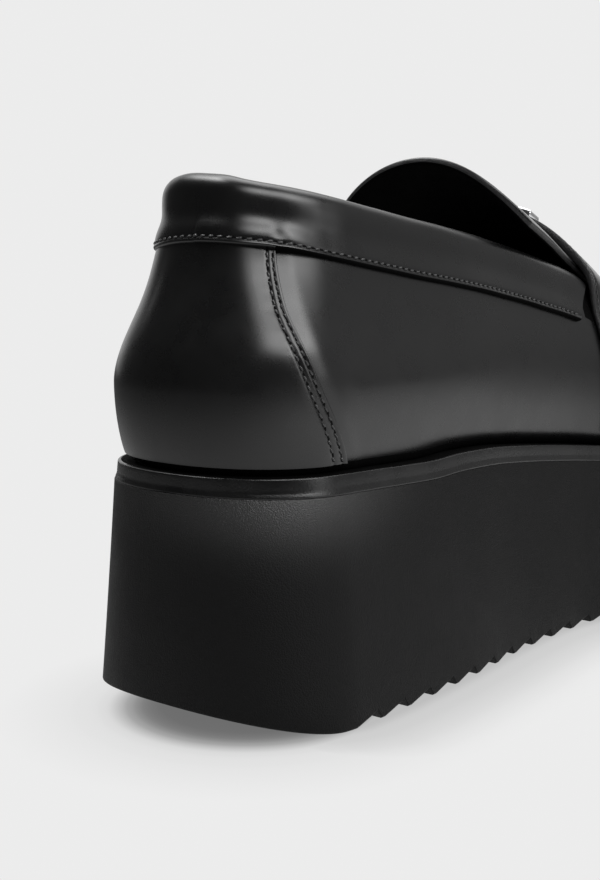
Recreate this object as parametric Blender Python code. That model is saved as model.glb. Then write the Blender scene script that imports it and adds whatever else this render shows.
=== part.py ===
"""Wedge-soled slip-on loafer, right foot: sole, welt, insole, upper and the pieces sewn on it.

Sizes are in millimetres in the tables below and become metres as meshes are made.
x runs from the heel (0) to the toe, y is across (the outer side of the foot is -y), z is up.
"""
import math

import bmesh
import bpy
import numpy as np

MM = 0.001
COLLECTION = "wedge_loafer"
CUTTERS = "wedge_loafer_cutters"

# Sole
SOLE_LENGTH = 264.0
GAP = 0.3                 # clearance kept between pieces that touch
WELT_HEIGHT = 4.2
WELT_WIDTH = 6.5          # from the rim inwards, under the upper's edge
WELT_ROUND = 0.7
BLANK_DEPTH = 4.0         # how far the sole blank reaches below the floor before the tread is cut
RIM_HEEL_INSET = 1.1      # the rim starts this far forward of the floor outline
RIM_TOE_INSET = 3.0
HEEL_BEVEL_LENGTH = 18.5
HEEL_BEVEL_RISE = 3.6
TOE_SPRING_START = 190.0
TOE_SPRING_RISE = 9.0

# Sawtooth tread: each tooth has a small flat tip, a long ramp in front and a steep back
TOOTH_PITCH = 10.0
FIRST_TIP = 21.2
TOOTH_COUNT = 23
TOOTH_HEIGHT = 1.9
TOOTH_RAMP = 0.82         # share of the pitch taken by the ramp
TOOTH_FLAT = 1.2
CUTTER_MARGIN = 10.0      # the tread cutter reaches this far past heel and toe
CUTTER_DEPTH = 20.0
CUTTER_REACH = 80.0       # and this far to each side

# Leather
WALL = 2.2                # upper and its lining together
COUNTER_THICK = 1.2
BAND_THICK = 1.5
TONGUE_THICK = 2.0
INSOLE_ABOVE_RIM = 0.8

# Outline of the sole: centre line, and half widths at the floor and at the top rim
OUTLINE_COLUMNS = ("x", "centre", "floor", "rim")
OUTLINE = (
    (0.0, 0.0, 35.2, 29.5),
    (45.0, 0.0, 35.4, 29.8),
    (70.0, -0.4, 34.2, 29.2),
    (100.0, -0.8, 31.8, 27.8),
    (125.0, -0.6, 32.6, 28.6),
    (150.0, 0.6, 38.0, 33.6),
    (178.0, 1.8, 45.5, 41.0),
    (200.0, 2.6, 47.0, 42.6),
    (225.0, 3.4, 46.0, 41.8),
    (264.0, 4.0, 43.0, 39.0),
)
# Round ends of that outline: length of the rounding and its squareness
HEEL_END = {"floor": (24.0, 2.3), "rim": (25.0, 2.2)}
TOE_END = {"floor": (56.0, 2.1), "rim": (55.0, 2.1)}

# Height of the top rim along the shoe: level heel, falling wedge, toe spring
RIM_COLUMNS = ("x", "z")
RIM = (
    (0.0, 53.6),
    (23.0, 53.45),
    (36.0, 53.1),
    (46.0, 52.75),
    (58.0, 52.45),
    (70.0, 52.85),
    (83.0, 52.55),
    (98.0, 51.5),
    (119.0, 49.5),
    (141.0, 47.1),
    (170.0, 43.4),
    (200.0, 40.2),
    (225.0, 40.0),
    (264.0, 44.0),
)

# Spine of the last: where the ribs of the upper point to, and the height of the instep there
SPINE_COLUMNS = ("x", "y", "z")
SPINE = (
    (30.0, 0.0, 136.0),
    (60.0, 1.4, 132.0),
    (100.0, 4.0, 119.5),
    (140.0, 3.8, 104.6),
    (158.0, 3.4, 96.9),
    (180.0, 3.0, 86.6),
    (205.0, 3.4, 76.0),
    (226.0, 3.8, 69.0),
)
SPINE_HEEL = (45.0, 14.0)   # ribs fan round the heel behind this x, over this length
SPINE_TOE = (195.0, 31.0)   # and round the toe in front of this one

# A rib of the upper, by rim station. Insets are measured inwards from the rim, heights up from it:
# the feather edge on the welt, the widest point, the collar edge (or the apron seam in front)
# with the wall's lean there
RIB_COLUMNS = ("x", "feather", "widest", "rise", "edge", "lean")
RIB = (
    (0.0, 3.5, 0.6, 17.3, 13.3, 5.0),
    (19.0, 3.6, 0.7, 17.3, 11.9, 6.0),
    (34.0, 3.7, 0.8, 17.5, 9.9, 8.0),
    (54.0, 3.7, 1.0, 17.8, 8.6, 10.0),
    (80.0, 3.7, 1.2, 17.0, 7.2, 12.0),
    (108.0, 3.7, 1.3, 16.6, 6.8, 14.0),
    (141.0, 3.7, 1.4, 15.2, 8.0, 24.0),
    (158.0, 3.8, 1.5, 13.5, 9.4, 37.0),
    (180.0, 3.8, 1.6, 12.0, 11.5, 44.0),
    (205.0, 3.9, 1.7, 10.5, 13.0, 50.0),
    (235.0, 4.0, 1.8, 9.5, 14.0, 52.0),
    (264.0, 4.0, 1.9, 9.0, 15.0, 52.0),
)
# Height of that edge over the rim; round the heel the inner side stands a little higher
COLLAR_COLUMNS = ("x", "height")
COLLAR = (
    (0.0, 60.8),
    (4.5, 59.2),
    (9.0, 58.5),
    (18.0, 57.55),
    (34.0, 55.9),
    (60.0, 53.1),
    (84.0, 49.9),
    (113.0, 47.4),
    (136.0, 44.6),
    (141.0, 42.4),
    (147.0, 38.8),
    (158.0, 33.6),
    (180.0, 27.5),
    (205.0, 22.5),
    (235.0, 19.0),
    (264.0, 18.0),
)
COLLAR_INNER_LIFT = 1.4
# How far the outer side is drawn in beside the heel, by rib level
HOLLOW_COLUMNS = ("level", "inset")
HOLLOW = ((0.0, 0.0), (1.0, 0.0), (1.3, -0.9), (1.55, 0.0), (1.8, 1.5), (2.0, 1.7), (3.0, 0.0))
# Handles of a rib's three curves, as shares of their spans
UNDER_LEAVE = (-0.074, 0.107)     # from the feather edge outwards and up
UNDER_ARRIVE = 0.46
SIDE_CLIMB = (0.20, 0.33)         # round the heel, and further forward
SIDE_ARRIVE = 0.49
OVER_HANDLES = (0.30, 0.46)
THROAT = (141.0, 160.0)     # the collar opening closes over the instep between these

# Collar band: its height below the collar edge
BAND_COLUMNS = ("x", "height")
BAND = ((0.0, 13.3), (4.5, 12.4), (12.0, 12.1), (60.0, 12.1), (140.0, 12.0))
BAND_FRONT = 139.0
BAND_CROWN = 0.2            # how far its middle swells
BAND_FOLD = 1.8             # how far its folded top stands above the upper's edge
BAND_ROUND = 0.4            # rounding of that fold's outer edge

# Heel counter: front edge of the panel, by height above the rim
COUNTER_COLUMNS = ("height", "x")
COUNTER = ((0.6, 28.0), (11.6, 21.5), (18.6, 17.8), (28.6, 13.9), (35.0, 11.9), (44.6, 10.9), (51.0, 10.9))
COUNTER_LOWEST = 2.6        # the panel starts this far above the rim
COUNTER_INNER_AHEAD = 7.0   # it reaches this much further forward on the inner side

# Tongue and apron, one piece: half width, fall of the arch per square of the distance from its
# middle, and crown height, by place along the spine
TONGUE_COLUMNS = ("x", "half", "fall", "z")
TONGUE = (
    (98.0, 32.0, 0.0146, 124.4),
    (120.0, 28.5, 0.0172, 116.6),
    (141.0, 25.5, 0.0205, 109.0),
    (165.0, 27.0, 0.0220, 98.2),
)
TONGUE_TILT = 0.32             # forward lean of the tongue's surface, as a slope
TONGUE_CORNER = 7.0            # its rear corners lie this far forward of its middle
TONGUE_JOIN = (150.0, 170.0)   # the tongue's own arch passes into the vamp between these
APRON_EDGE = 2.06              # rib level of the apron's seam
APRON_SEAT = 0.5               # the apron's clearance over the vamp's facets

# Strap across the instep and down to the welt
STRAP_REAR = 138.0
STRAP_FRONT = 162.0
STRAP_SWEEP = 5.0              # how far its ends swing towards the toe
STRAP_THICK = 2.4
STRAP_END_THICK = 1.3
STRAP_SEAT = 0.6               # its clearance over the tongue and the upper's wall
STRAP_BRIDGE = 0.5             # share of its half length that arches over the tongue
STRAP_REACH = 1.02             # where that arch ends, as a share of the tongue's half width
STRAP_HANG = 0.42              # share of each side in which it comes down to the wall
STRAP_BEND = 6.0               # length of the handles of that bend
STRAP_LAND = 1.76              # rib level where it meets the wall
STRAP_END = 0.42               # rib level of its end, just above the welt

# Plain metal bar on the strap
BAR_LENGTH = 19.0
BAR_WIDTH = 5.0
BAR_THICK = 1.8
BAR_PLACE = 141.0
BAR_EDGE = 0.75                # thickness of its long edges, as a share of its middle's

# Mesh steps
SOLE_STATIONS = 56
UPPER_STATIONS = 40
UPPER_ROWS = 10

SIDES = (-1, 1)                # outer side, inner side


def column(names, rows, name):
    return np.array([row[names.index(name)] for row in rows])


def smooth_through(xs, ys):
    """A curve through the points that doesn't overshoot them, flat beyond both ends."""
    steps = np.diff(xs)
    rises = np.diff(ys) / steps
    slopes = np.zeros(len(xs))
    for i in range(1, len(xs) - 1):
        if rises[i - 1] * rises[i] > 0.0:
            first = 2.0 * steps[i] + steps[i - 1]
            second = steps[i] + 2.0 * steps[i - 1]
            slopes[i] = (first + second) / (first / rises[i - 1] + second / rises[i])
    slopes[0] = rises[0]
    slopes[-1] = rises[-1]

    def value(x):
        x = min(max(x, xs[0]), xs[-1])
        i = min(int(np.searchsorted(xs, x, side="right")) - 1, len(steps) - 1)
        t = (x - xs[i]) / steps[i]
        keep = (1.0 + 2.0 * t) * (1.0 - t) ** 2 * ys[i] + t * t * (3.0 - 2.0 * t) * ys[i + 1]
        turn = t * (1.0 - t) ** 2 * slopes[i] - t * t * (1.0 - t) * slopes[i + 1]
        return float(keep + turn * steps[i])

    return value


def table(names, rows, key):
    xs = column(names, rows, key)
    others = [name for name in names if name != key]
    return {name: smooth_through(xs, column(names, rows, name)) for name in others}


OUTLINE_AT = table(OUTLINE_COLUMNS, OUTLINE, "x")
RIM_AT = table(RIM_COLUMNS, RIM, "x")
SPINE_AT = table(SPINE_COLUMNS, SPINE, "x")
RIB_AT = table(RIB_COLUMNS, RIB, "x")
COLLAR_AT = table(COLLAR_COLUMNS, COLLAR, "x")
HOLLOW_AT = table(HOLLOW_COLUMNS, HOLLOW, "level")
BAND_AT = table(BAND_COLUMNS, BAND, "x")
COUNTER_AT = table(COUNTER_COLUMNS, COUNTER, "height")
TONGUE_AT = table(TONGUE_COLUMNS, TONGUE, "x")


def ease(x, start, end):
    t = min(max((x - start) / (end - start), 0.0), 1.0)
    return t * t * (3.0 - 2.0 * t)


def round_end(distance, length, squareness):
    u = min(max(1.0 - distance / length, 0.0), 1.0)
    return (1.0 - u ** squareness) ** (1.0 / squareness)


def outline(s, side, level):
    """Plan point of the floor or rim outline: s runs from the heel (0) to the toe (1)."""
    start = RIM_HEEL_INSET if level == "rim" else 0.0
    end = SOLE_LENGTH - (RIM_TOE_INSET if level == "rim" else 0.0)
    x = start + (end - start) * (1.0 - math.cos(math.pi * s)) / 2.0
    half = OUTLINE_AT[level](x) * round_end(x - start, *HEEL_END[level]) * round_end(end - x, *TOE_END[level])
    return np.array([x, OUTLINE_AT["centre"](x) + side * half])


def station(x):
    """The s of a rim station at x."""
    span = SOLE_LENGTH - RIM_TOE_INSET - RIM_HEEL_INSET
    return math.acos(1.0 - 2.0 * (x - RIM_HEEL_INSET) / span) / math.pi


def wall_point(s, side, z):
    """Point of the sole's straight flaring side at height z."""
    floor = outline(s, side, "floor")
    rim = outline(s, side, "rim")
    plan = floor + (rim - floor) * z / RIM_AT["z"](rim[0])
    return np.array([plan[0], plan[1], z])


def spine_x(x):
    heel, fan = SPINE_HEEL
    toe, sweep = SPINE_TOE
    if x < heel:
        return heel - fan * (1.0 - math.exp((x - heel) / fan))
    if x > toe:
        return toe + sweep * (1.0 - math.exp((toe - x) / sweep))
    return x


def bezier(a, b, c, d, t):
    return a * (1 - t) ** 3 + 3 * b * t * (1 - t) ** 2 + 3 * c * t * t * (1 - t) + d * t ** 3


def rib_point(s, side, level):
    """Point of the last's surface: level 0 is the feather edge, 1 the widest point,
    2 the collar edge or apron seam, 3 the crown of the instep."""
    rim = outline(s, side, "rim")
    x = rim[0]
    base = RIM_AT["z"](x)
    crown_x = spine_x(x)
    crown = np.array([crown_x, SPINE_AT["y"](crown_x)])
    reach = np.linalg.norm(crown - rim)
    inwards = (crown - rim) / reach
    size = {name: RIB_AT[name](x) for name in RIB_COLUMNS[1:]}
    feather = np.array([size["feather"], GAP])
    widest = np.array([size["widest"], size["rise"]])
    height = COLLAR_AT["height"](x)
    if side > 0:
        height += COLLAR_INNER_LIFT * ease(x, 1.1, 4.5) * (1.0 - ease(x, 12.0, 34.0))
    edge = np.array([size["edge"], height])
    top = np.array([reach, SPINE_AT["z"](crown_x) - base])
    lean = math.radians(size["lean"])
    up_wall = np.array([math.sin(lean), math.cos(lean)])
    if level <= 1.0:
        span = np.linalg.norm(widest - feather)
        at = bezier(feather, feather + np.array(UNDER_LEAVE) * span,
                    widest - [0.0, UNDER_ARRIVE * span], widest, level)
    elif level <= 2.0:
        span = np.linalg.norm(edge - widest)
        round_heel, forward = SIDE_CLIMB
        climb = round_heel + (forward - round_heel) * ease(x, 60.0, 100.0)
        at = bezier(widest, widest + [0.0, climb * span], edge - up_wall * SIDE_ARRIVE * span, edge, level - 1.0)
    else:
        span = np.linalg.norm(top - edge)
        low, high = OVER_HANDLES
        flat = np.array([reach - edge[0], 0.0])
        at = bezier(edge, edge + up_wall * span * low, top - flat * high, top, level - 2.0)
    if side < 0:
        at[0] += HOLLOW_AT["inset"](level) * ease(x, 1.1, 10.0) * (1.0 - ease(x, 16.0, 44.0))
    plan = rim + inwards * at[0]
    return np.array([plan[0], plan[1], base + at[1]])


def rib_normal(s, side, level):
    step = 0.01
    low = max(level - step, 0.0)
    high = level + step
    if high > 3.0 and s >= 1.0:
        up = rib_point(s, side, level) - rib_point(s, side, low)
    elif high > 3.0:
        up = rib_point(s, -side, 3.0 - step) - rib_point(s, side, 3.0 - step)
    else:
        up = rib_point(s, side, high) - rib_point(s, side, low)
    back = max(s - step / 2.0, 0.0)
    fore = min(s + step / 2.0, 1.0)
    if s <= 0.0:
        along = rib_point(fore, side, level) - rib_point(fore, -side, level)
    elif s >= 1.0:
        shoulder = min(level, 2.5)
        along = rib_point(back, -side, shoulder) - rib_point(back, side, shoulder)
    else:
        along = rib_point(fore, side, level) - rib_point(back, side, level)
    normal = np.cross(along, up) * -side
    return normal / np.linalg.norm(normal)


def skin_point(s, side, level, off):
    """Point a distance off the last's surface, outwards."""
    return rib_point(s, side, level) + rib_normal(s, side, level) * off


def opening_level(s):
    """Rib level of the upper's top edge: the collar, then the throat closing over the instep."""
    start, end = THROAT
    x = outline(s, 1, "rim")[0]
    t = min(max((x - start) / (end - start), 0.0), 1.0)
    return 2.0 + math.sqrt(t * (2.0 - t))


def level_at_depth(s, side, depth):
    """Rib level that lies a height below the collar edge."""
    goal = rib_point(s, side, 2.0)[2] - depth
    low, high = 0.0, 2.0
    for _ in range(30):
        middle = (low + high) / 2.0
        if rib_point(s, side, middle)[2] < goal:
            low = middle
        else:
            high = middle
    return (low + high) / 2.0


def material(name, colour, roughness, metallic=0.0):
    mat = bpy.data.materials.new(name)
    mat.use_nodes = True
    shader = mat.node_tree.nodes["Principled BSDF"]
    shader.inputs["Base Color"].default_value = (*colour, 1.0)
    shader.inputs["Roughness"].default_value = roughness
    shader.inputs["Metallic"].default_value = metallic
    return mat


def new_object(name, points, faces, mat, collection):
    mesh = bpy.data.meshes.new(name)
    mesh.from_pydata([tuple(np.asarray(p) * MM) for p in points], [], faces)
    bm = bmesh.new()
    bm.from_mesh(mesh)
    bmesh.ops.remove_doubles(bm, verts=bm.verts, dist=0.02 * MM)
    bmesh.ops.dissolve_degenerate(bm, edges=bm.edges, dist=0.01 * MM)
    bmesh.ops.recalc_face_normals(bm, faces=bm.faces)
    bm.to_mesh(mesh)
    bm.free()
    mesh.shade_smooth()
    mesh.set_sharp_from_angle(angle=math.radians(35))
    if mat:
        mesh.materials.append(mat)
    obj = bpy.data.objects.new(name, mesh)
    collection.objects.link(obj)
    return obj


def grid(rows, closed_rows=False, closed_columns=False):
    """Points and quads of a grid given as a list of rows of points."""
    count = len(rows)
    width = len(rows[0])
    points = [p for row in rows for p in row]
    faces = []
    for i in range(count if closed_rows else count - 1):
        for j in range(width if closed_columns else width - 1):
            a = i * width + j
            b = i * width + (j + 1) % width
            c = (i + 1) % count * width + (j + 1) % width
            d = (i + 1) % count * width + j
            faces.append((a, b, c, d))
    return points, faces


def swept(name, loops, mat, collection, closed):
    """A solid made of equal closed loops of points, one after another."""
    points, faces = grid(loops, closed_rows=closed, closed_columns=True)
    if not closed:
        width = len(loops[0])
        faces.append(tuple(range(width)))
        faces.append(tuple(range(len(points) - width, len(points))))
    return new_object(name, points, faces, mat, collection)


def sheet(name, outer, inner, mat, collection, halves_meet=False):
    """A closed sheet between two grids of equal size, an outer and an inner face. Where its two
    halves meet at the end of each row, that end has no edge face."""
    loops = [list(a) + list(reversed(b)) for a, b in zip(outer, inner)]
    width = len(outer[0])
    points, faces = grid(loops, closed_columns=True)
    if halves_meet:
        for i in reversed(range(len(loops) - 1)):
            del faces[i * 2 * width + width - 1]
    for start in (0, len(points) - 2 * width):
        for j in range(width - 1):
            last = start + 2 * width - 1
            faces.append((start + j, start + j + 1, last - j - 1, last - j))
    return new_object(name, points, faces, mat, collection)


def plate(name, ring_top, ring_bottom, mat, collection):
    """A plate between two rings, each a list of (outer side, inner side) pairs from heel to toe."""
    points = []
    faces = []
    for ring in (ring_top, ring_bottom):
        for pair in ring:
            points.extend(pair)
    count = len(ring_top)
    for half in (0, 2 * count):
        for i in range(count - 1):
            a = half + 2 * i
            faces.append((a, a + 1, a + 3, a + 2))
    for i in range(count - 1):
        for k in (0, 1):
            a = 2 * i + k
            faces.append((a, a + 2, a + 2 + 2 * count, a + 2 * count))
    return new_object(name, points, faces, mat, collection)


def tread_height(x):
    """Floor side of the sole without its teeth: bevelled heel, flat, toe spring."""
    heel = max(1.0 - x / HEEL_BEVEL_LENGTH, 0.0)
    toe = max(x - TOE_SPRING_START, 0.0) / (SOLE_LENGTH - TOE_SPRING_START)
    return HEEL_BEVEL_RISE * heel ** 1.5 + TOE_SPRING_RISE * toe ** 2


def tread_profile():
    bevel = np.linspace(-CUTTER_MARGIN, HEEL_BEVEL_LENGTH, 7)
    points = [(x, tread_height(x)) for x in bevel]
    for n in range(TOOTH_COUNT):
        tip = FIRST_TIP + n * TOOTH_PITCH
        valley = tip + TOOTH_RAMP * TOOTH_PITCH
        if n > 0:
            points.append((tip - TOOTH_FLAT / 2.0, tread_height(tip)))
        points.append((tip + TOOTH_FLAT / 2.0, tread_height(tip)))
        if n < TOOTH_COUNT - 1:
            points.append((valley, tread_height(valley) + TOOTH_HEIGHT))
    beyond = SOLE_LENGTH + CUTTER_MARGIN
    points.append((SOLE_LENGTH, tread_height(SOLE_LENGTH)))
    points.append((beyond, tread_height(beyond)))
    return points


def make_tread_cutter(collection):
    profile = tread_profile()
    profile.append((profile[-1][0], -CUTTER_DEPTH))
    profile.append((profile[0][0], -CUTTER_DEPTH))
    loops = [[(x, y, z) for x, z in profile] for y in (-CUTTER_REACH, CUTTER_REACH)]
    cutter = swept("tread_cutter", loops, None, collection, closed=False)
    cutter.hide_render = True
    cutter.display_type = "WIRE"
    return cutter


def stations(count):
    return [i / count for i in range(count + 1)]


def make_sole(collection, cutter):
    def ring(height):
        return [[wall_point(s, side, height(s)) for side in SIDES] for s in stations(SOLE_STATIONS)]

    def under_welt(s):
        return RIM_AT["z"](outline(s, 1, "rim")[0]) - WELT_HEIGHT - GAP

    def below_floor(s):
        return -BLANK_DEPTH

    rubber = material("sole_rubber", (0.018, 0.018, 0.019), 0.75)
    sole = plate("sole", ring(under_welt), ring(below_floor), rubber, collection)
    cut = sole.modifiers.new("tread", "BOOLEAN")
    cut.operation = "DIFFERENCE"
    cut.solver = "EXACT"
    cut.object = cutter
    return sole


def inset_point(s, side, inset, z):
    rim = outline(s, side, "rim")
    crown_x = spine_x(rim[0])
    inwards = np.array([crown_x, SPINE_AT["y"](crown_x)]) - rim
    plan = rim + inwards / np.linalg.norm(inwards) * inset
    return np.array([plan[0], plan[1], z])


def around(count):
    """Stations round the whole shoe: heel, outer side, toe, inner side."""
    outer = [(s, -1) for s in stations(count)]
    inner = [(s, 1) for s in reversed(stations(count)[1:-1])]
    return outer + inner


def make_welt(collection):
    loops = []
    for s, side in around(SOLE_STATIONS):
        top = RIM_AT["z"](outline(s, side, "rim")[0])
        low = top - WELT_HEIGHT
        loops.append([
            wall_point(s, side, low),
            wall_point(s, side, top - WELT_ROUND),
            inset_point(s, side, WELT_ROUND, top),
            inset_point(s, side, WELT_WIDTH, top),
            inset_point(s, side, WELT_WIDTH, low),
        ])
    leather = material("welt_leather", (0.02, 0.02, 0.021), 0.3)
    return swept("welt", loops, leather, collection, closed=True)


def make_insole(collection):
    def ring(above):
        rows = []
        for s in stations(UPPER_STATIONS):
            z = RIM_AT["z"](outline(s, 1, "rim")[0]) + above
            rows.append([inset_point(s, side, WELT_WIDTH + GAP, z) for side in SIDES])
        return rows

    lining = material("insole_leather", (0.01, 0.01, 0.01), 0.6)
    return plate("insole", ring(INSOLE_ABOVE_RIM), ring(-WELT_HEIGHT), lining, collection)


def upper_stations():
    start, end = THROAT
    throat = [station(start + (end - start) * share) for share in (0.0, 0.15, 0.4, 0.7, 1.0)]
    clear = 0.6 / UPPER_STATIONS
    even = [s for s in stations(UPPER_STATIONS) if all(abs(s - t) > clear for t in throat)]
    return sorted(even + throat)


def make_upper(collection, leather):
    ring = upper_stations()
    loop = [(s, -1) for s in ring] + [(s, 1) for s in reversed(ring[1:-1])]
    outer = []
    inner = []
    for s, side in loop:
        top = opening_level(s)
        levels = [top * (j / UPPER_ROWS) for j in range(UPPER_ROWS + 1)]
        outer.append([skin_point(s, side, level, 0.0) for level in levels])
        inner.append([skin_point(s, side, level, -WALL) for level in levels])
        inner[-1][0][2] = outer[-1][0][2]
    loops = [a + list(reversed(b)) for a, b in zip(outer, inner)]
    points, faces = grid(loops, closed_rows=True, closed_columns=True)
    width = len(loops[0])
    closed = [opening_level(s) >= 3.0 for s, _ in loop]
    for i in reversed(range(len(loops))):
        if closed[i] and closed[(i + 1) % len(loops)]:
            del faces[i * width + UPPER_ROWS]      # both halves meet here, over the instep
    return new_object("upper", points, faces, leather, collection)


def make_counter(collection, leather):
    rows = 9
    columns = 12
    faces = {GAP: [], GAP + COUNTER_THICK: []}
    for off, rings in faces.items():
        for i in range(2 * columns + 1):
            share = (i - columns) / columns
            side = -1 if share < 0 else 1
            row = []
            for j in range(rows + 1):
                back = 0.0
                for _ in range(3):
                    top = level_at_depth(back, side, BAND_AT["height"](outline(back, side, "rim")[0]) + GAP)
                    low = COUNTER_LOWEST / RIB_AT["rise"](0.0)
                    level = low + (top - low) * j / rows
                    height = rib_point(back, side, level)[2] - RIM_AT["z"](0.0)
                    front = COUNTER_AT["x"](height) + (COUNTER_INNER_AHEAD if side > 0 else 0.0)
                    back = station(front) * abs(share)
                row.append(skin_point(back, side, level, off))
            rings.append(row)
    inner, outer = faces.values()
    return sheet("heel_counter", outer, inner, leather, collection)


def make_band(collection, leather):
    count = 34
    front = station(BAND_FRONT)
    half = [front * (i / count) for i in range(count + 1)]
    loop = [(s, -1) for s in reversed(half)] + [(s, 1) for s in half[1:]]
    outer = GAP + BAND_THICK
    fold = BAND_FOLD
    loops = []
    for s, side in loop:
        depth = BAND_AT["height"](outline(s, side, "rim")[0])
        low = level_at_depth(s, side, depth)
        middle = level_at_depth(s, side, depth * 0.5)
        near = level_at_depth(s, side, fold)
        edge = skin_point(s, side, 2.0, 0.0)
        normal = rib_normal(s, side, 2.0)
        up = rib_point(s, side, 2.0) - rib_point(s, side, 1.97)
        up = up / np.linalg.norm(up)
        loops.append([
            skin_point(s, side, low, GAP),
            skin_point(s, side, low, outer),
            skin_point(s, side, middle, outer + BAND_CROWN),
            skin_point(s, side, near, outer + BAND_CROWN / 2.0),
            edge + normal * (outer - BAND_ROUND) + up * fold / 2.0,
            edge + up * fold,
            edge - normal * (WALL - 2.0 * BAND_ROUND) + up * fold,
            edge - normal * WALL + up * GAP,
            edge + normal * GAP + up * GAP,
            skin_point(s, side, middle, GAP),
        ])
    return swept("collar_band", loops, leather, collection, closed=False)


def tongue_point(x, q, off):
    """Point of the tongue's own arch: q runs from -1 to 1 across it."""
    d = q * TONGUE_AT["half"](x)
    slope = -2.0 * TONGUE_AT["fall"](x) * d
    normal = np.array([TONGUE_TILT, -slope, 1.0])
    point = np.array([x, SPINE_AT["y"](x) + d, TONGUE_AT["z"](x) - TONGUE_AT["fall"](x) * d * d])
    return point + normal / np.linalg.norm(normal) * off


def apron_point(x, q, off):
    """Tongue in the opening, vamp in front of it."""
    side = -1 if q < 0 else 1
    blend = ease(x, *TONGUE_JOIN)
    level = 3.0 - abs(q) * (3.0 - APRON_EDGE)
    s = station(x)
    on_vamp = skin_point(s, side, level, APRON_SEAT + TONGUE_THICK + off)
    if blend >= 1.0:
        return on_vamp
    own = tongue_point(spine_x(x), q, off)
    return own * (1.0 - blend) + on_vamp * blend


def make_tongue(collection, leather):
    across = 8
    length = 30
    rear = TONGUE[0][0]
    toe = SOLE_LENGTH - RIM_TOE_INSET
    loop = [(i / length, -1) for i in range(length + 1)]
    loop += [(i / length, 1) for i in reversed(range(length))]
    outer = []
    inner = []
    for share, side in loop:
        row_out = []
        row_in = []
        for j in reversed(range(across + 1)):
            q = j / across
            start = rear + TONGUE_CORNER * q ** 4
            x = start + (toe - start) * math.sin(share * math.pi / 2.0)
            row_out.append(apron_point(x, side * q, 0.0))
            row_in.append(apron_point(x, side * q, -TONGUE_THICK))
        outer.append(row_out)
        inner.append(row_in)
    return sheet("tongue_apron", outer, inner, leather, collection, halves_meet=True)


def strap_point(x, q, layer):
    """Strap over the tongue and down both sides to the welt: q runs from -1 to 1 along it, and
    layer is 0 on its underside, 1 on its face and more for what is sewn on it."""
    side = -1 if q < 0 else 1
    place = x + STRAP_SWEEP * q * q
    share = max(abs(q) - STRAP_BRIDGE, 0.0) / (1.0 - STRAP_BRIDGE)
    thick = STRAP_THICK + (STRAP_END_THICK - STRAP_THICK) * ease(share, 0.0, STRAP_HANG)
    off = STRAP_SEAT + thick * layer
    if share == 0.0:
        return apron_point(place, q / STRAP_BRIDGE * STRAP_REACH, off)
    s = station(place)
    if share >= STRAP_HANG:
        down = (share - STRAP_HANG) / (1.0 - STRAP_HANG)
        return skin_point(s, side, STRAP_LAND + (STRAP_END - STRAP_LAND) * down, off)
    step = 0.03
    over = apron_point(place, side * STRAP_REACH, off)
    over_run = over - apron_point(place, side * (STRAP_REACH - step), off)
    land = skin_point(s, side, STRAP_LAND, off)
    land_run = skin_point(s, side, STRAP_LAND - step, off) - land
    leave = over + over_run / np.linalg.norm(over_run) * STRAP_BEND
    arrive = land - land_run / np.linalg.norm(land_run) * STRAP_BEND
    return bezier(over, leave, arrive, land, share / STRAP_HANG)


def make_strap(collection, leather):
    across = 22
    along = 4
    outer = []
    inner = []
    for j in range(-across, across + 1):
        q = j / across
        xs = [STRAP_REAR + (STRAP_FRONT - STRAP_REAR) * i / along for i in range(along + 1)]
        outer.append([strap_point(x, q, 1.0) for x in xs])
        inner.append([strap_point(x, q, 0.0) for x in xs])
    return sheet("strap", outer, inner, leather, collection)


def make_bar(collection):
    across = 8
    reach = STRAP_BRIDGE / STRAP_REACH * BAR_LENGTH / 2.0 / TONGUE_AT["half"](BAR_PLACE)
    outer = []
    inner = []
    for j in range(-across, across + 1):
        q = reach * j / across
        xs = (BAR_PLACE - BAR_WIDTH / 2.0, BAR_PLACE, BAR_PLACE + BAR_WIDTH / 2.0)
        seat = 1.0 + GAP / STRAP_THICK
        crown = BAR_THICK / STRAP_THICK
        crowns = (crown * BAR_EDGE, crown, crown * BAR_EDGE)
        outer.append([strap_point(x, q, seat + rise) for x, rise in zip(xs, crowns)])
        inner.append([strap_point(x, q, seat) for x in xs])
    metal = material("plain_metal", (0.75, 0.75, 0.76), 0.15, 1.0)
    return sheet("strap_bar", outer, inner, metal, collection)


def stand_on_origin(pieces, cutter):
    """Move the whole shoe so that the middle of its underside is the origin."""
    graph = bpy.context.evaluated_depsgraph_get()
    corners = []
    for piece in pieces:
        mesh = piece.evaluated_get(graph).to_mesh()
        corners.extend(np.array(vertex.co) for vertex in mesh.vertices)
    low = np.min(corners, axis=0)
    high = np.max(corners, axis=0)
    middle = (low + high) / 2.0
    shoe = bpy.data.objects.new("shoe", None)
    bpy.context.scene.collection.objects.link(shoe)
    shoe.location = (-middle[0], -middle[1], -low[2])
    for piece in pieces + [cutter]:
        piece.parent = shoe


def main():
    for obj in list(bpy.data.objects):
        bpy.data.objects.remove(obj, do_unlink=True)
    parts = bpy.data.collections.new(COLLECTION)
    cutters = bpy.data.collections.new(CUTTERS)
    for collection in (parts, cutters):
        bpy.context.scene.collection.children.link(collection)

    leather = material("polished_leather", (0.012, 0.012, 0.013), 0.18)
    cutter = make_tread_cutter(cutters)
    pieces = [
        make_sole(parts, cutter),
        make_welt(parts),
        make_insole(parts),
        make_upper(parts, leather),
        make_counter(parts, leather),
        make_band(parts, leather),
        make_tongue(parts, leather),
        make_strap(parts, leather),
        make_bar(parts),
    ]
    stand_on_origin(pieces, cutter)


main()
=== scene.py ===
import math

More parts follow.
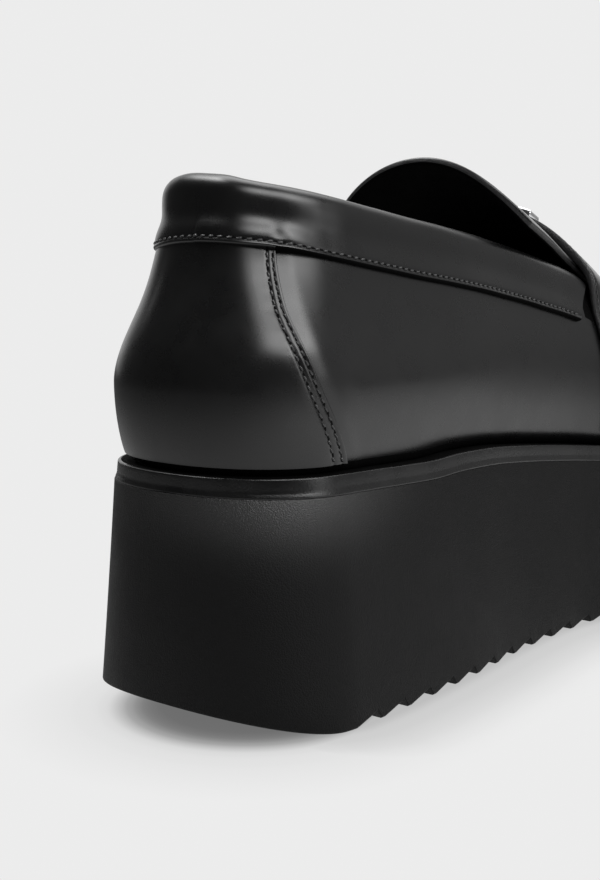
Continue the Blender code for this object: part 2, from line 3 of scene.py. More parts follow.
import bmesh
import bpy
import numpy as np
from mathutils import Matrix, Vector


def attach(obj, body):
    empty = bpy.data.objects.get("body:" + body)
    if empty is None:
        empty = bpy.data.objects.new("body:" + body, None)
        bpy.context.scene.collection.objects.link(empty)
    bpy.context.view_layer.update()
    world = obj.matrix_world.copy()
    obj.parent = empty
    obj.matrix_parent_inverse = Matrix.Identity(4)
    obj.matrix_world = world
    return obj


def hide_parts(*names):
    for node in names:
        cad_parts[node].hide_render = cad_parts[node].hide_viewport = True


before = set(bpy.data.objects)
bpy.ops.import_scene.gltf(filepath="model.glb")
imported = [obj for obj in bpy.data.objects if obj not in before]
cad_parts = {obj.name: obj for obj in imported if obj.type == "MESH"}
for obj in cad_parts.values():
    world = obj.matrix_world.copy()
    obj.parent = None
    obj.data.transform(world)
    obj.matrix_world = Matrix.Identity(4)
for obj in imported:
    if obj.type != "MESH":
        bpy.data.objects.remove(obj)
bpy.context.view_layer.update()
scene = bpy.context.scene
print("frame loaded:", ", ".join(sorted(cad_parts)))

# The last and the sole's outline, shared by every piece
shoe = {
    "shift": (-131.73, -2.62, 0.0),     # from the heel to the frame's origin
    "length": 264.0,
    "rimHeelInset": 1.1,
    "rimToeInset": 3.0,
    "wall": 2.2,
    "feltGap": 0.3,
    "heelEnd": {"floor": (24.0, 2.3), "rim": (25.0, 2.2)},    # length and squareness of the round ends
    "toeEnd": {"floor": (56.0, 2.1), "rim": (55.0, 2.1)},
    "spineHeel": (45.0, 14.0),           # ribs fan round the heel behind this x, over this length
    "spineToe": (195.0, 31.0),
    # Handles of a rib's curves as shares of their spans, first at the heel, then further forward
    "leave": ((-0.074, 0.107), (-0.14, 0.10)),
    "arrive": (0.46, 0.62),
    "climb": (0.20, 0.33),
    "lean": 0.49,
    "over": (0.30, 0.46),
    "sideRun": (60.0, 100.0),            # where the handles pass from the heel's to the side's
    "innerLift": 1.55,                   # the inner collar stands higher round the heel
    "liftRun": ((-0.02, 0.09), (12.0, 34.0)),    # stations where that begins, x where it ends
    "outerRun": (1.1, 10.0, 14.0, 36.0),         # x where the outer side's hollow comes and goes
    "innerHollow": (0.55, 1.56, 0.2),    # depth, level and spread of a hollow behind on the inner side
    "innerRun": (1.1, 3.5, 16.0, 44.0),
    "toeRun": (150.0, 200.0),            # the ribs' crowns lean downhill beyond it
    "throat": (141.0, 160.0),
    "innerCounter": 7.0,                 # the heel counter reaches further forward on the inner side
}
outlineRows = (      # x, centre line, half width at the floor, half width at the rim
    (0, 0.0, 35.2, 29.5), (45, 0.0, 35.4, 29.8), (70, -0.4, 34.2, 29.2), (100, -0.8, 31.8, 27.8),
    (125, -0.6, 32.6, 28.6), (150, 0.6, 38.0, 33.6), (178, 1.8, 45.5, 41.0), (200, 2.6, 47.0, 42.6),
    (225, 3.4, 46.0, 41.8), (264, 4.0, 43.0, 39.0),
)
rimRows = (          # x, height of the top rim
    (0, 53.6), (23, 53.45), (36, 53.1), (46, 52.75), (58, 52.45), (70, 52.85), (83, 52.55), (98, 51.5),
    (119, 49.5), (141, 47.1), (170, 43.4), (200, 40.2), (225, 40.0), (264, 44.0),
)
spineRows = (        # x, y and z of the instep's ridge
    (30, 0.0, 136.0), (60, 1.4, 132.0), (100, 4.0, 119.5), (140, 3.8, 104.6), (158, 3.4, 96.9),
    (180, 3.0, 86.6), (205, 3.4, 76.0), (226, 3.8, 69.0),
)
ribRows = (          # rim x, insets of feather and widest point, its rise, inset and lean of the edge
    (0, 3.5, 0.6, 17.3, 13.3, 5), (19, 3.6, 0.7, 17.3, 11.9, 6), (34, 3.8, 0.8, 17.5, 9.9, 8),
    (54, 4.3, 1.0, 17.8, 8.6, 10), (80, 5.0, 1.2, 17.0, 7.2, 12), (108, 5.2, 1.3, 16.6, 6.8, 14),
    (141, 5.2, 1.4, 15.2, 8.0, 24), (158, 5.4, 1.5, 13.5, 9.4, 37), (180, 5.4, 1.6, 12.0, 11.5, 44),
    (205, 5.3, 1.7, 10.5, 13.0, 50), (235, 5.2, 1.8, 9.5, 14.0, 52), (264, 5.0, 1.9, 9.0, 15.0, 52),
)
collarRows = (       # rim x, height of the collar edge or apron seam over the rim
    (0, 61.0), (4.5, 59.25), (9, 58.5), (18, 57.55), (34, 55.9), (58, 53.25), (70, 51.35), (84, 49.85),
    (113, 47.4), (136, 44.6), (141, 42.4), (147, 38.8), (158, 33.6), (180, 27.5), (205, 22.5), (235, 19.0),
    (264, 18.0),
)
hollowRows = (       # level, how far the outer side is drawn in beside the heel
    (0, 0.0), (1, 0.0), (1.3, -0.9), (1.55, 0.0), (1.8, 1.5), (2, 1.7), (3, 0.0),
)


def curveThrough(rows, column):
    xs = np.array([row[0] for row in rows], float)
    ys = np.array([row[column] for row in rows], float)
    steps = np.diff(xs)
    rises = np.diff(ys) / steps
    slopes = np.zeros(len(xs))
    for i in range(1, len(xs) - 1):
        if rises[i - 1] * rises[i] > 0.0:
            first = 2.0 * steps[i] + steps[i - 1]
            second = steps[i] + 2.0 * steps[i - 1]
            slopes[i] = (first + second) / (first / rises[i - 1] + second / rises[i])
    slopes[0] = rises[0]
    slopes[-1] = rises[-1]

    def value(x):
        x = np.clip(x, xs[0], xs[-1])
        i = np.clip(np.searchsorted(xs, x, side="right") - 1, 0, len(steps) - 1)
        t = (x - xs[i]) / steps[i]
        keep = (1.0 + 2.0 * t) * (1.0 - t) ** 2 * ys[i] + t * t * (3.0 - 2.0 * t) * ys[i + 1]
        turn = t * (1.0 - t) ** 2 * slopes[i] - t * t * (1.0 - t) * slopes[i + 1]
        return keep + turn * steps[i]

    return value


outlineAt = {"centre": curveThrough(outlineRows, 1), "floor": curveThrough(outlineRows, 2),
             "rim": curveThrough(outlineRows, 3)}
rimAt = curveThrough(rimRows, 1)
spineY = curveThrough(spineRows, 1)
spineZ = curveThrough(spineRows, 2)
ribAt = {name: curveThrough(ribRows, i + 1)
         for i, name in enumerate(("feather", "widest", "rise", "edge", "lean"))}
ribAt["height"] = curveThrough(collarRows, 1)
hollowAt = curveThrough(hollowRows, 1)


def ease(x, start, end):
    t = np.clip((x - start) / (end - start), 0.0, 1.0)
    return t * t * (3.0 - 2.0 * t)


def between(x, start, full, fade, end):
    return ease(x, start, full) * (1.0 - ease(x, fade, end))


def bump(x, middle, spread):
    return np.exp(-((x - middle) / spread) ** 2)


def unit(vectors):
    return vectors / np.linalg.norm(vectors, axis=-1)[..., None]


def roundEnd(distance, length, squareness):
    t = np.clip(1.0 - distance / length, 0.0, 1.0)
    return (1.0 - t ** squareness) ** (1.0 / squareness)


# u runs round the shoe: 0 at the heel, -1 to the toe along the outer side, 1 along the inner side
def planPoint(u, level):
    start = shoe["rimHeelInset"] if level == "rim" else 0.0
    end = shoe["length"] - (shoe["rimToeInset"] if level == "rim" else 0.0)
    x = start + (end - start) * (1.0 - np.cos(np.pi * np.abs(u))) / 2.0
    half = outlineAt[level](x) * roundEnd(x - start, *shoe["heelEnd"][level])
    half = half * roundEnd(end - x, *shoe["toeEnd"][level])
    return np.stack([x, outlineAt["centre"](x) + np.where(u < 0.0, -half, half)], axis=-1)


def alongRim(u):
    return planPoint(u, "rim")[..., 0]


def stationOf(x):
    span = shoe["length"] - shoe["rimToeInset"] - shoe["rimHeelInset"]
    return np.arccos(np.clip(1.0 - 2.0 * (x - shoe["rimHeelInset"]) / span, -1.0, 1.0)) / np.pi


def wallPoint(u, z):
    floor = planPoint(u, "floor")
    rim = planPoint(u, "rim")
    plan = floor + (rim - floor) * (z / rimAt(rim[..., 0]))[..., None]
    return np.concatenate([plan, np.broadcast_to(z, plan.shape[:-1])[..., None]], axis=-1)


def spineX(x):
    heel, fan = shoe["spineHeel"]
    toe, sweep = shoe["spineToe"]
    atHeel = heel - fan * (1.0 - np.exp(np.minimum(x - heel, 0.0) / fan))
    atToe = toe + sweep * (1.0 - np.exp(np.minimum(toe - x, 0.0) / sweep))
    return np.where(x < heel, atHeel, np.where(x > toe, atToe, x))


def towardsCrown(u):
    rim = planPoint(u, "rim")
    crownX = spineX(rim[..., 0])
    return rim, crownX, np.stack([crownX, spineY(crownX)], axis=-1) - rim


def insetPoint(u, inset, z):
    rim, _, inwards = towardsCrown(u)
    return np.concatenate([rim + unit(inwards) * inset, z[..., None]], axis=-1)


# A point of the sole's wall that stands out from it
def proudPoint(u, z, out):
    wall = wallPoint(u, z)
    return wall + unit(wall - insetPoint(u, 1.0, z)) * out


def bezier(a, b, c, d, t):
    t = t[..., None]
    return a * (1 - t) ** 3 + 3 * b * t * (1 - t) ** 2 + 3 * c * t * t * (1 - t) + d * t ** 3


def collarLift(u, x):
    begin, end = shoe["liftRun"]
    return shoe["innerLift"] * ease(u, *begin) * (1.0 - ease(x, *end))


# level climbs a rib of the last: 0 feather edge, 1 widest point, 2 collar or apron seam, 3 crown
def lastPoint(u, level):
    u, level = np.broadcast_arrays(np.asarray(u, float), np.asarray(level, float))
    u = np.where(level > 3.0, -u, u)
    level = np.where(level > 3.0, 6.0 - level, level)
    u = (u + 1.0) % 2.0 - 1.0
    rim, crownX, inwards = towardsCrown(u)
    x = rim[..., 0]
    reach = np.linalg.norm(inwards, axis=-1)
    inwards = inwards / reach[..., None]
    size = {name: curve(x) for name, curve in ribAt.items()}
    feather = np.stack([size["feather"], np.full_like(x, shoe["feltGap"])], axis=-1)
    widest = np.stack([size["widest"], size["rise"]], axis=-1)
    edge = np.stack([size["edge"], size["height"] + collarLift(u, x)], axis=-1)
    top = np.stack([reach, spineZ(crownX) - rimAt(x)], axis=-1)
    lean = np.radians(size["lean"])
    upWall = np.stack([np.sin(lean), np.cos(lean)], axis=-1)
    upright = np.array([0.0, 1.0])

    def span(a, b):
        return np.linalg.norm(b - a, axis=-1)[..., None]

    forward = ease(x, *shoe["sideRun"])[..., None]

    def blend(pair):
        return np.array(pair[0]) + (np.array(pair[1]) - np.array(pair[0])) * forward

    length = span(feather, widest)
    under = bezier(feather, feather + blend(shoe["leave"]) * length,
                   widest - upright * length * blend(shoe["arrive"]), widest, np.clip(level, 0.0, 1.0))
    length = span(widest, edge)
    beside = bezier(widest, widest + upright * length * blend(shoe["climb"]),
                    edge - upWall * length * shoe["lean"], edge, np.clip(level - 1.0, 0.0, 1.0))
    low, high = shoe["over"]
    downhill = (spineZ(crownX + 0.5) - spineZ(crownX - 0.5)) * inwards[..., 0] * ease(x, *shoe["toeRun"])
    flat = np.stack([np.ones_like(x), downhill], axis=-1) * (reach - edge[..., 0])[..., None]
    over = bezier(edge, edge + upWall * span(edge, top) * low, top - flat * high, top,
                  np.clip(level - 2.0, 0.0, 1.0))
    at = np.where((level <= 1.0)[..., None], under, np.where((level <= 2.0)[..., None], beside, over))
    depth, middle, spread = shoe["innerHollow"]
    drawn = np.where(u < 0.0, hollowAt(level) * between(x, *shoe["outerRun"]),
                     depth * bump(level, middle, spread) * between(x, *shoe["innerRun"]))
    at = at + np.stack([drawn, np.zeros_like(x)], axis=-1)
    plan = rim + inwards * at[..., :1]
    return np.concatenate([plan, (rimAt(x) + at[..., 1])[..., None]], axis=-1)


def lastNormal(u, level):
    u, level = np.broadcast_arrays(np.asarray(u, float), np.asarray(level, float))
    up = lastPoint(u, np.minimum(level + 0.01, 3.0)) - lastPoint(u, np.clip(level - 0.01, 0.0, 2.98))
    shoulder = np.minimum(level, 2.9)
    along = lastPoint(u + 0.003, shoulder) - lastPoint(u - 0.003, shoulder)
    return unit(np.cross(up, along))


def skinPoint(u, level, off):
    off = np.broadcast_to(off, np.broadcast(np.asarray(u), np.asarray(level)).shape)
    return lastPoint(u, level) + lastNormal(u, level) * off[..., None]


def openingLevel(u):
    start, end = shoe["throat"]
    t = np.clip((alongRim(u) - start) / (end - start), 0.0, 1.0)
    return 2.0 + np.sqrt(t * (2.0 - t))


def levelAtDepth(u, depth):
    u, depth = np.broadcast_arrays(np.asarray(u, float), np.asarray(depth, float))
    goal = lastPoint(u, 2.0)[..., 2] - depth
    low = np.zeros_like(goal)
    high = np.full_like(goal, 2.0)
    for _ in range(26):
        middle = (low + high) / 2.0
        below = lastPoint(u, middle)[..., 2] < goal
        low = np.where(below, middle, low)
        high = np.where(below, high, middle)
    return (low + high) / 2.0


# Mesh helpers
def gridFaces(rows, columns, closedRows=False, closedColumns=False, first=0):
    faces = []
    for i in range(rows if closedRows else rows - 1):
        for j in range(columns if closedColumns else columns - 1):
            a = first + i * columns + j
            b = first + i * columns + (j + 1) % columns
            c = first + (i + 1) % rows * columns + (j + 1) % columns
            d = first + (i + 1) % rows * columns + j
            faces.append((a, b, c, d))
    return faces


def makeMesh(name, points, faces, materials, faceSlots=None, sharpAngle=40.0, merge=0.02):
    mesh = bpy.data.meshes.new(name)
    placed = (np.asarray(points, float).reshape(-1, 3) + np.array(shoe["shift"])) * 0.001
    mesh.from_pydata(placed.tolist(), [], faces)
    for mat in materials:
        mesh.materials.append(mat)
    if faceSlots is not None:
        mesh.polygons.foreach_set("material_index", np.asarray(faceSlots, np.int32))
    work = bmesh.new()
    work.from_mesh(mesh)
    if merge:
        bmesh.ops.remove_doubles(work, verts=work.verts, dist=merge * 0.001)
        bmesh.ops.dissolve_degenerate(work, edges=work.edges, dist=0.002 * 0.001)
    bmesh.ops.recalc_face_normals(work, faces=work.faces)
    work.to_mesh(mesh)
    work.free()
    mesh.shade_smooth()
    mesh.set_sharp_from_angle(angle=math.radians(sharpAngle))
    piece = bpy.data.objects.new(name, mesh)
    scene.collection.objects.link(piece)
    return piece


def putOn(piece, slotName, *nodes):
    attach(piece, "root")
    if nodes:
        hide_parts(*nodes)
    print("made", piece.name, len(piece.data.polygons), "faces")
    return piece


# A closed sheet between an outer and an inner grid of the same size
def sheetMesh(outer, inner):
    rows, columns = outer.shape[:2]
    loops = np.concatenate([outer, inner[:, ::-1]], axis=1)
    faces = gridFaces(rows, 2 * columns, closedColumns=True)
    for start in (0, (rows - 1) * 2 * columns):
        for j in range(columns - 1):
            last = start + 2 * columns - 1
            faces.append((start + j, start + j + 1, last - j - 1, last - j))
    return loops.reshape(-1, 3), faces


# How far a sheet's face drops near its edge so that the edge is round
def edgeDrop(distance, radius):
    t = np.clip(1.0 - np.maximum(distance, 0.0) / radius, 0.0, 1.0)
    return radius * (1.0 - np.sqrt(1.0 - t * t))


# Shader node groups
def newGroup(name, inputs, outputs):
    group = bpy.data.node_groups.new(name, "ShaderNodeTree")
    for title, default in inputs:
        socket = group.interface.new_socket(title, in_out="INPUT", socket_type="NodeSocketFloat")
        socket.default_value = default
    for title in outputs:
        group.interface.new_socket(title, in_out="OUTPUT", socket_type="NodeSocketFloat")
    start = group.nodes.new("NodeGroupInput")
    end = group.nodes.new("NodeGroupOutput")
    return group, start, end


def setInputs(node, values):
    for title, value in values.items():
        node.inputs[title].default_value = value


def mathNode(tree, operation, a, b=None):
    node = tree.nodes.new("ShaderNodeMath")
    node.operation = operation
    for socket, value in zip(node.inputs, (a, b)):
        if value is None:
            continue
        if isinstance(value, (int, float)):
            socket.default_value = value
        else:
            tree.links.new(value, socket)
    return node.outputs[0]


def vectorNode(tree, operation, a, b=None):
    node = tree.nodes.new("ShaderNodeVectorMath")
    node.operation = operation
    tree.links.new(a, node.inputs[0])
    if b is not None:
        node.inputs[1].default_value = b
    return node


def bellNode(tree, distance, size):
    share = mathNode(tree, "DIVIDE", distance, size)
    return mathNode(tree, "EXPONENT", mathNode(tree, "MULTIPLY", mathNode(tree, "POWER", share, 2.0), -1.0))


def objectPlace(tree):
    return tree.nodes.new("ShaderNodeTexCoord").outputs["Object"]


def noiseNode(tree, scale, detail, roughness=0.5):
    node = tree.nodes.new("ShaderNodeTexNoise")
    tree.links.new(objectPlace(tree), node.inputs["Vector"])
    setInputs(node, {"Detail": detail, "Roughness": roughness})
    if isinstance(scale, (int, float)):
        node.inputs["Scale"].default_value = scale
    else:
        tree.links.new(scale, node.inputs["Scale"])
    return node.outputs["Fac"]


def makeLeatherGroup():
    group, start, end = newGroup("leatherSurface",
                                 (("poreScale", 1500.0), ("waveScale", 60.0), ("smudgeScale", 110.0),
                                  ("poreHeight", 0.2), ("waveHeight", 1.0)), ("height", "smudge"))
    pores = noiseNode(group, start.outputs["poreScale"], 3.0, 0.6)
    waves = noiseNode(group, start.outputs["waveScale"], 1.0, 0.4)
    fine = mathNode(group, "MULTIPLY", pores, start.outputs["poreHeight"])
    wide = mathNode(group, "MULTIPLY", waves, start.outputs["waveHeight"])
    group.links.new(mathNode(group, "ADD", fine, wide), end.inputs["height"])
    smudge = noiseNode(group, start.outputs["smudgeScale"], 4.0, 0.65)
    group.links.new(smudge, end.inputs["smudge"])
    return group


def makePebbleGroup():
    group, start, end = newGroup("rubberPebble", (("scale", 1700.0), ("cloud", 55.0)), ("height", "tone"))
    grain = noiseNode(group, start.outputs["scale"], 2.0, 0.6)
    cloud = noiseNode(group, start.outputs["cloud"], 5.0, 0.6)
    group.links.new(grain, end.inputs["height"])
    mixed = mathNode(group, "ADD", mathNode(group, "MULTIPLY", grain, 0.5),
                     mathNode(group, "MULTIPLY", cloud, 0.5))
    group.links.new(mixed, end.inputs["tone"])
    return group


leatherSurface = makeLeatherGroup()
rubberPebble = makePebbleGroup()


def newMaterial(name):
    mat = bpy.data.materials.new(name)
    mat.use_nodes = True
    return mat, mat.node_tree, mat.node_tree.nodes["Principled BSDF"]


def rampBetween(tree, value, low, high, fromLow=0.3, fromHigh=0.7):
    node = tree.nodes.new("ShaderNodeMapRange")
    tree.links.new(value, node.inputs["Value"])
    setInputs(node, {"From Min": fromLow, "From Max": fromHigh, "To Min": low, "To Max": high})
    return node.outputs["Result"]


def mixColour(tree, factor, dark, light):
    node = tree.nodes.new("ShaderNodeMix")
    node.data_type = "RGBA"
    tree.links.new(factor, node.inputs["Factor"])
    setInputs(node, {"A": (*dark, 1.0), "B": (*light, 1.0)})
    return node.outputs["Result"]


def bumpInto(tree, shader, height, strength, distance):
    node = tree.nodes.new("ShaderNodeBump")
    setInputs(node, {"Strength": strength, "Distance": distance})
    tree.links.new(height, node.inputs["Height"])
    tree.links.new(node.outputs["Normal"], shader.inputs["Normal"])


leatherLooks = {
    "polished": {"dark": (0.0014, 0.0014, 0.0015), "light": (0.0024, 0.0024, 0.0025),
                 "rough": (0.25, 0.32), "poreScale": 3600.0,
                 "pores": 0.10, "waves": 0.35, "bump": 0.3, "specular": 0.5},
    "welt": {"dark": (0.0016, 0.0016, 0.0017), "light": (0.0034, 0.0034, 0.0035),
             "rough": (0.18, 0.36), "poreScale": 2400.0,
             "pores": 0.4, "waves": 0.5, "bump": 0.3, "specular": 0.45},
    # This dull dark look is the real lining and also serves as painted shade on outer faces in crevices and
    # under the strap
    "lining": {"dark": (0.0008, 0.0008, 0.0008), "light": (0.0020, 0.0020, 0.0020),
               "rough": (0.7, 0.9), "poreScale": 1500.0,
               "pores": 0.9, "waves": 0.3, "bump": 0.4, "specular": 0.03},
    "cutEdge": {"dark": (0.008, 0.008, 0.0083), "light": (0.016, 0.016, 0.0165),
                "rough": (0.32, 0.5), "poreScale": 1500.0,
                "pores": 0.9, "waves": 0.3, "bump": 0.5, "specular": 0.4},
}


def makeLeather(name, look):
    mat, tree, shader = newMaterial(name)
    node = tree.nodes.new("ShaderNodeGroup")
    node.node_tree = leatherSurface
    setInputs(node, {"poreScale": look["poreScale"], "poreHeight": look["pores"],
                     "waveHeight": look["waves"]})
    tree.links.new(mixColour(tree, node.outputs["smudge"], look["dark"], look["light"]),
                   shader.inputs["Base Color"])
    tree.links.new(rampBetween(tree, node.outputs["smudge"], *look["rough"]), shader.inputs["Roughness"])
    shader.inputs["Specular IOR Level"].default_value = look["specular"]
    bumpInto(tree, shader, node.outputs["height"], look["bump"], 0.0004)
    return mat


polishedLeather = makeLeather("polishedLeather", leatherLooks["polished"])
weltLeather = makeLeather("weltLeather", leatherLooks["welt"])
liningAndShade = makeLeather("liningAndShade", leatherLooks["lining"])
cutEdge = makeLeather("cutEdge", leatherLooks["cutEdge"])

rubberLook = {"dark": (0.0020, 0.0020, 0.0021), "light": (0.0062, 0.0062, 0.0063), "rough": (0.42, 0.62),
              "scale": 3200.0, "bump": 0.8, "specular": 0.11,
              "worn": (7.0, -25.0, 50.0), "wornReach": 26.0, "wornFlat": 2.8, "wornSmooth": -0.08,
              "wornGloss": 0.7}


def makeRubber():
    mat, tree, shader = newMaterial("soleRubber")
    node = tree.nodes.new("ShaderNodeGroup")
    node.node_tree = rubberPebble
    node.inputs["scale"].default_value = rubberLook["scale"]
    tree.links.new(mixColour(tree, node.outputs["tone"], rubberLook["dark"], rubberLook["light"]),
                   shader.inputs["Base Color"])
    # A patch at the heel's outer corner is rubbed smoother
    spot = [(a + b) * 0.001 for a, b in zip(rubberLook["worn"], shoe["shift"])]
    aside = vectorNode(tree, "SUBTRACT", objectPlace(tree), spot).outputs["Vector"]
    flattened = vectorNode(tree, "MULTIPLY", aside, (1.0, 1.0, rubberLook["wornFlat"])).outputs["Vector"]
    far = vectorNode(tree, "LENGTH", flattened).outputs["Value"]
    worn = bellNode(tree, far, rubberLook["wornReach"] * 0.001)
    rough = rampBetween(tree, node.outputs["tone"], *rubberLook["rough"])
    smoother = mathNode(tree, "MULTIPLY", worn, rubberLook["wornSmooth"])
    tree.links.new(mathNode(tree, "ADD", rough, smoother), shader.inputs["Roughness"])
    gloss = mathNode(tree, "ADD", mathNode(tree, "MULTIPLY", worn, rubberLook["wornGloss"]),
                     rubberLook["specular"])
    tree.links.new(gloss, shader.inputs["Specular IOR Level"])
    bumpInto(tree, shader, node.outputs["height"], rubberLook["bump"], 0.0003)
    return mat


soleRubber = makeRubber()

threadLook = {"colour": (0.026, 0.026, 0.0265), "rough": 0.24, "twist": 2600.0, "bump": 0.5}
# The needle holes' near-black colour is painted shade standing in for the inside of each hole
holeLook = {"dark": (0.0008, 0.0008, 0.0008), "light": (0.002, 0.002, 0.002), "scale": 900.0, "rough": 0.9,
            "specular": 0.1}
metalLook = {"colour": (0.78, 0.78, 0.79), "rough": (0.08, 0.2), "scale": 420.0}


def makeThread():
    mat, tree, shader = newMaterial("waxedThread")
    setInputs(shader, {"Base Color": (*threadLook["colour"], 1.0), "Roughness": threadLook["rough"]})
    bumpInto(tree, shader, noiseNode(tree, threadLook["twist"], 2.0), threadLook["bump"], 0.0002)
    return mat


def makeHole():
    mat, tree, shader = newMaterial("holeShade")
    shade = noiseNode(tree, holeLook["scale"], 2.0)
    tree.links.new(mixColour(tree, shade, holeLook["dark"], holeLook["light"]), shader.inputs["Base Color"])
    setInputs(shader, {"Roughness": holeLook["rough"], "Specular IOR Level": holeLook["specular"]})
    return mat


def makeMetal():
    mat, tree, shader = newMaterial("barMetal")
    brushed = noiseNode(tree, metalLook["scale"], 3.0, 0.6)
    setInputs(shader, {"Base Color": (*metalLook["colour"], 1.0), "Metallic": 1.0})
    tree.links.new(rampBetween(tree, brushed, *metalLook["rough"]), shader.inputs["Roughness"])
    return mat


waxedThread = makeThread()
holeShade = makeHole()
barMetal = makeMetal()
print("materials made")

# Sole
sole = {"weltHeight": 4.2, "gap": 0.02, "heelBevel": (18.5, 3.6), "toeSpring": (190.0, 9.0),
        "pitch": 10.0, "firstTip": 21.2, "teeth": 23, "toothHeight": 1.9, "ramp": 0.82, "tipFlat": 1.2,
        "edgeRound": 0.5, "topRound": 0.25, "ledge": 0.45, "ledgeTop": 0.6, "rows": 12, "bevelSteps": 24,
        "endSteps": 44, "endLength": 40.0, "fill": 2.2}


def treadBase(x):
    length, rise = sole["heelBevel"]
    start, spring = sole["toeSpring"]
    heel = np.clip(1.0 - x / length, 0.0, None)
    toe = np.clip(x - start, 0.0, None) / (shoe["length"] - start)
    return rise * heel ** 1.5 + spring * toe ** 2


def treadKnots():
    knots = [(x, treadBase(x)) for x in np.linspace(0.0, sole["heelBevel"][0], sole["bevelSteps"])]
    for n in range(sole["teeth"]):
        tip = sole["firstTip"] + n * sole["pitch"]
        valley = tip + sole["ramp"] * sole["pitch"]
        flat = sole["tipFlat"] / 2.0
        if n > 0:
            knots.append((tip - flat, treadBase(tip)))
        knots.append((tip + flat, treadBase(tip)))
        if n < sole["teeth"] - 1:
            knots.append((valley, treadBase(valley) + sole["toothHeight"]))
    knots.append((shoe["length"], treadBase(shoe["length"])))
    return np.array(knots)


def makeSole():
    knots = treadKnots()
    ends = (1.0 - np.cos(np.linspace(0.0, np.pi / 2.0, sole["endSteps"]))) * sole["endLength"]
    fill = np.arange(sole["endLength"], shoe["length"] - sole["endLength"], sole["fill"])
    xs = np.unique(np.concatenate([knots[:, 0], ends, shoe["length"] - ends, fill]).round(3))
    zs = np.interp(xs, knots[:, 0], knots[:, 1])
    dense = np.linspace(0.0, 1.0, 4001)
    floorX = planPoint(dense, "floor")[:, 0]
    rimX = alongRim(dense)
    stations = []
    for x, z in zip(xs, zs):
        stations.append(np.interp(x, floorX + (rimX - floorX) * z / rimAt(rimX), dense))
    s = np.clip(np.array(stations), 0.0, 1.0)
    inside = (s > 1e-6) & (s < 1.0 - 1e-6)
    first, last = np.flatnonzero(inside)[[0, -1]]
    xs = xs[first - 1:last + 2]
    s = s[first - 1:last + 2]
    top = rimAt(alongRim(s)) - sole["weltHeight"] - sole["gap"]
    bottom = np.interp(xs, knots[:, 0], knots[:, 1])
    share = np.linspace(0.0, 1.0, sole["rows"]) ** 0.9
    sides = []
    for side in (-1.0, 1.0):
        u = side * np.clip(s, 1e-6, 1.0 - 1e-6)
        rows = []
        low = bottom + sole["edgeRound"]
        high = top - sole["topRound"]
        for t in share:
            z = low + (high - low) * t
            rows.append(proudPoint(u, z, sole["ledge"] * t ** 1.5))
        middle = np.stack([rows[0][:, 0], outlineAt["centre"](rows[0][:, 0])], axis=-1)

        def drawnIn(row, inset, z):
            towards = middle - row[:, :2]
            towards = towards / np.maximum(np.linalg.norm(towards, axis=-1), inset)[:, None]
            return np.concatenate([row[:, :2] + towards * inset, z[:, None]], axis=-1)

        foot, head = rows[0], rows[-1]
        third = sole["edgeRound"] * 0.3
        rows.insert(0, drawnIn(foot, third, bottom + third))
        rows.insert(0, drawnIn(foot, sole["edgeRound"], bottom))
        third = sole["topRound"] * 0.3
        rows.append(drawnIn(head, third, top - third))
        rows.append(drawnIn(head, sole["topRound"] * 1.1, top))
        rows.append(drawnIn(head, sole["ledge"] + sole["ledgeTop"], top + sole["gap"]))
        sides.append(np.stack(rows, axis=1))
    count = len(xs)
    width = sides[0].shape[1]
    points = np.concatenate([sides[0].reshape(-1, 3), sides[1].reshape(-1, 3)])
    faces = gridFaces(count, width) + gridFaces(count, width, first=count * width)
    for i in range(count - 1):
        for j in (0, width - 1):
            a = i * width + j
            b = (i + 1) * width + j
            faces.append((a, b, b + count * width, a + count * width))
    for end in (0, (count - 1) * width):
        for j in range(width - 1):
            a = end + j
            faces.append((a, a + 1, a + 1 + count * width, a + count * width))
    piece = makeMesh("wedgeSole", points, faces, [soleRubber], sharpAngle=28.0)
    return putOn(piece, "sole_rubber", "sole")


makeSole()

# Welt
welt = {"height": 4.2, "width": 6.5, "foot": 0.3, "round": 0.4, "roundSteps": 6, "stations": 220,
        "bead": ((0.06, 0.22), (0.25, 0.28), (0.5, 0.24), (0.9, 0.1), (1.3, 0.0)),
        "faceRows": (0.45, 0.65, 0.85),
        # Inset and rise of the top, given the dull lining as painted shade in the crevice under the upper
        "shadedTopRows": ((0.7, 0.02), (2.4, 0.05), (6.5, 0.0))}


def ringStations(count):
    half = np.linspace(0.0, 1.0, count + 1)
    return np.concatenate([-half, half[-2:0:-1]])


def makeWelt():
    u = ringStations(welt["stations"])
    top = rimAt(alongRim(u))
    low = top - welt["height"]
    r = welt["round"]
    loops = [insetPoint(u, welt["width"], low), insetPoint(u, welt["foot"], low)]
    for up, out in welt["bead"]:
        loops.append(proudPoint(u, low + up, out))
    for t in welt["faceRows"]:
        loops.append(wallPoint(u, low + (welt["height"] - r) * t))
    for angle in np.linspace(0.0, np.pi / 2.0, welt["roundSteps"]):
        z = top - r + r * math.sin(angle)
        loops.append(insetPoint(u, r * (1.0 - math.cos(angle)), z))
    shadedFrom = len(loops)
    for inset, rise in welt["shadedTopRows"]:
        loops.append(insetPoint(u, inset, top + rise))
    points = np.stack(loops, axis=1)
    count, width = points.shape[:2]
    faces = gridFaces(count, width, closedRows=True, closedColumns=True)
    # The top under the upper takes the dull lining: painted shade in the crevice
    slots = [1 if j >= shadedFrom else 0 for j in range(width)] * count
    piece = makeMesh("weltStrip", points, faces, [weltLeather, liningAndShade], slots, sharpAngle=50.0)
    return putOn(piece, "welt_leather", "welt")


makeWelt()

# Insole
insole = {"inset": 6.8, "above": 0.8, "cup": 1.2, "ends": (0.012, 0.988), "stations": 90, "across": 24,
          "under": 4.2}


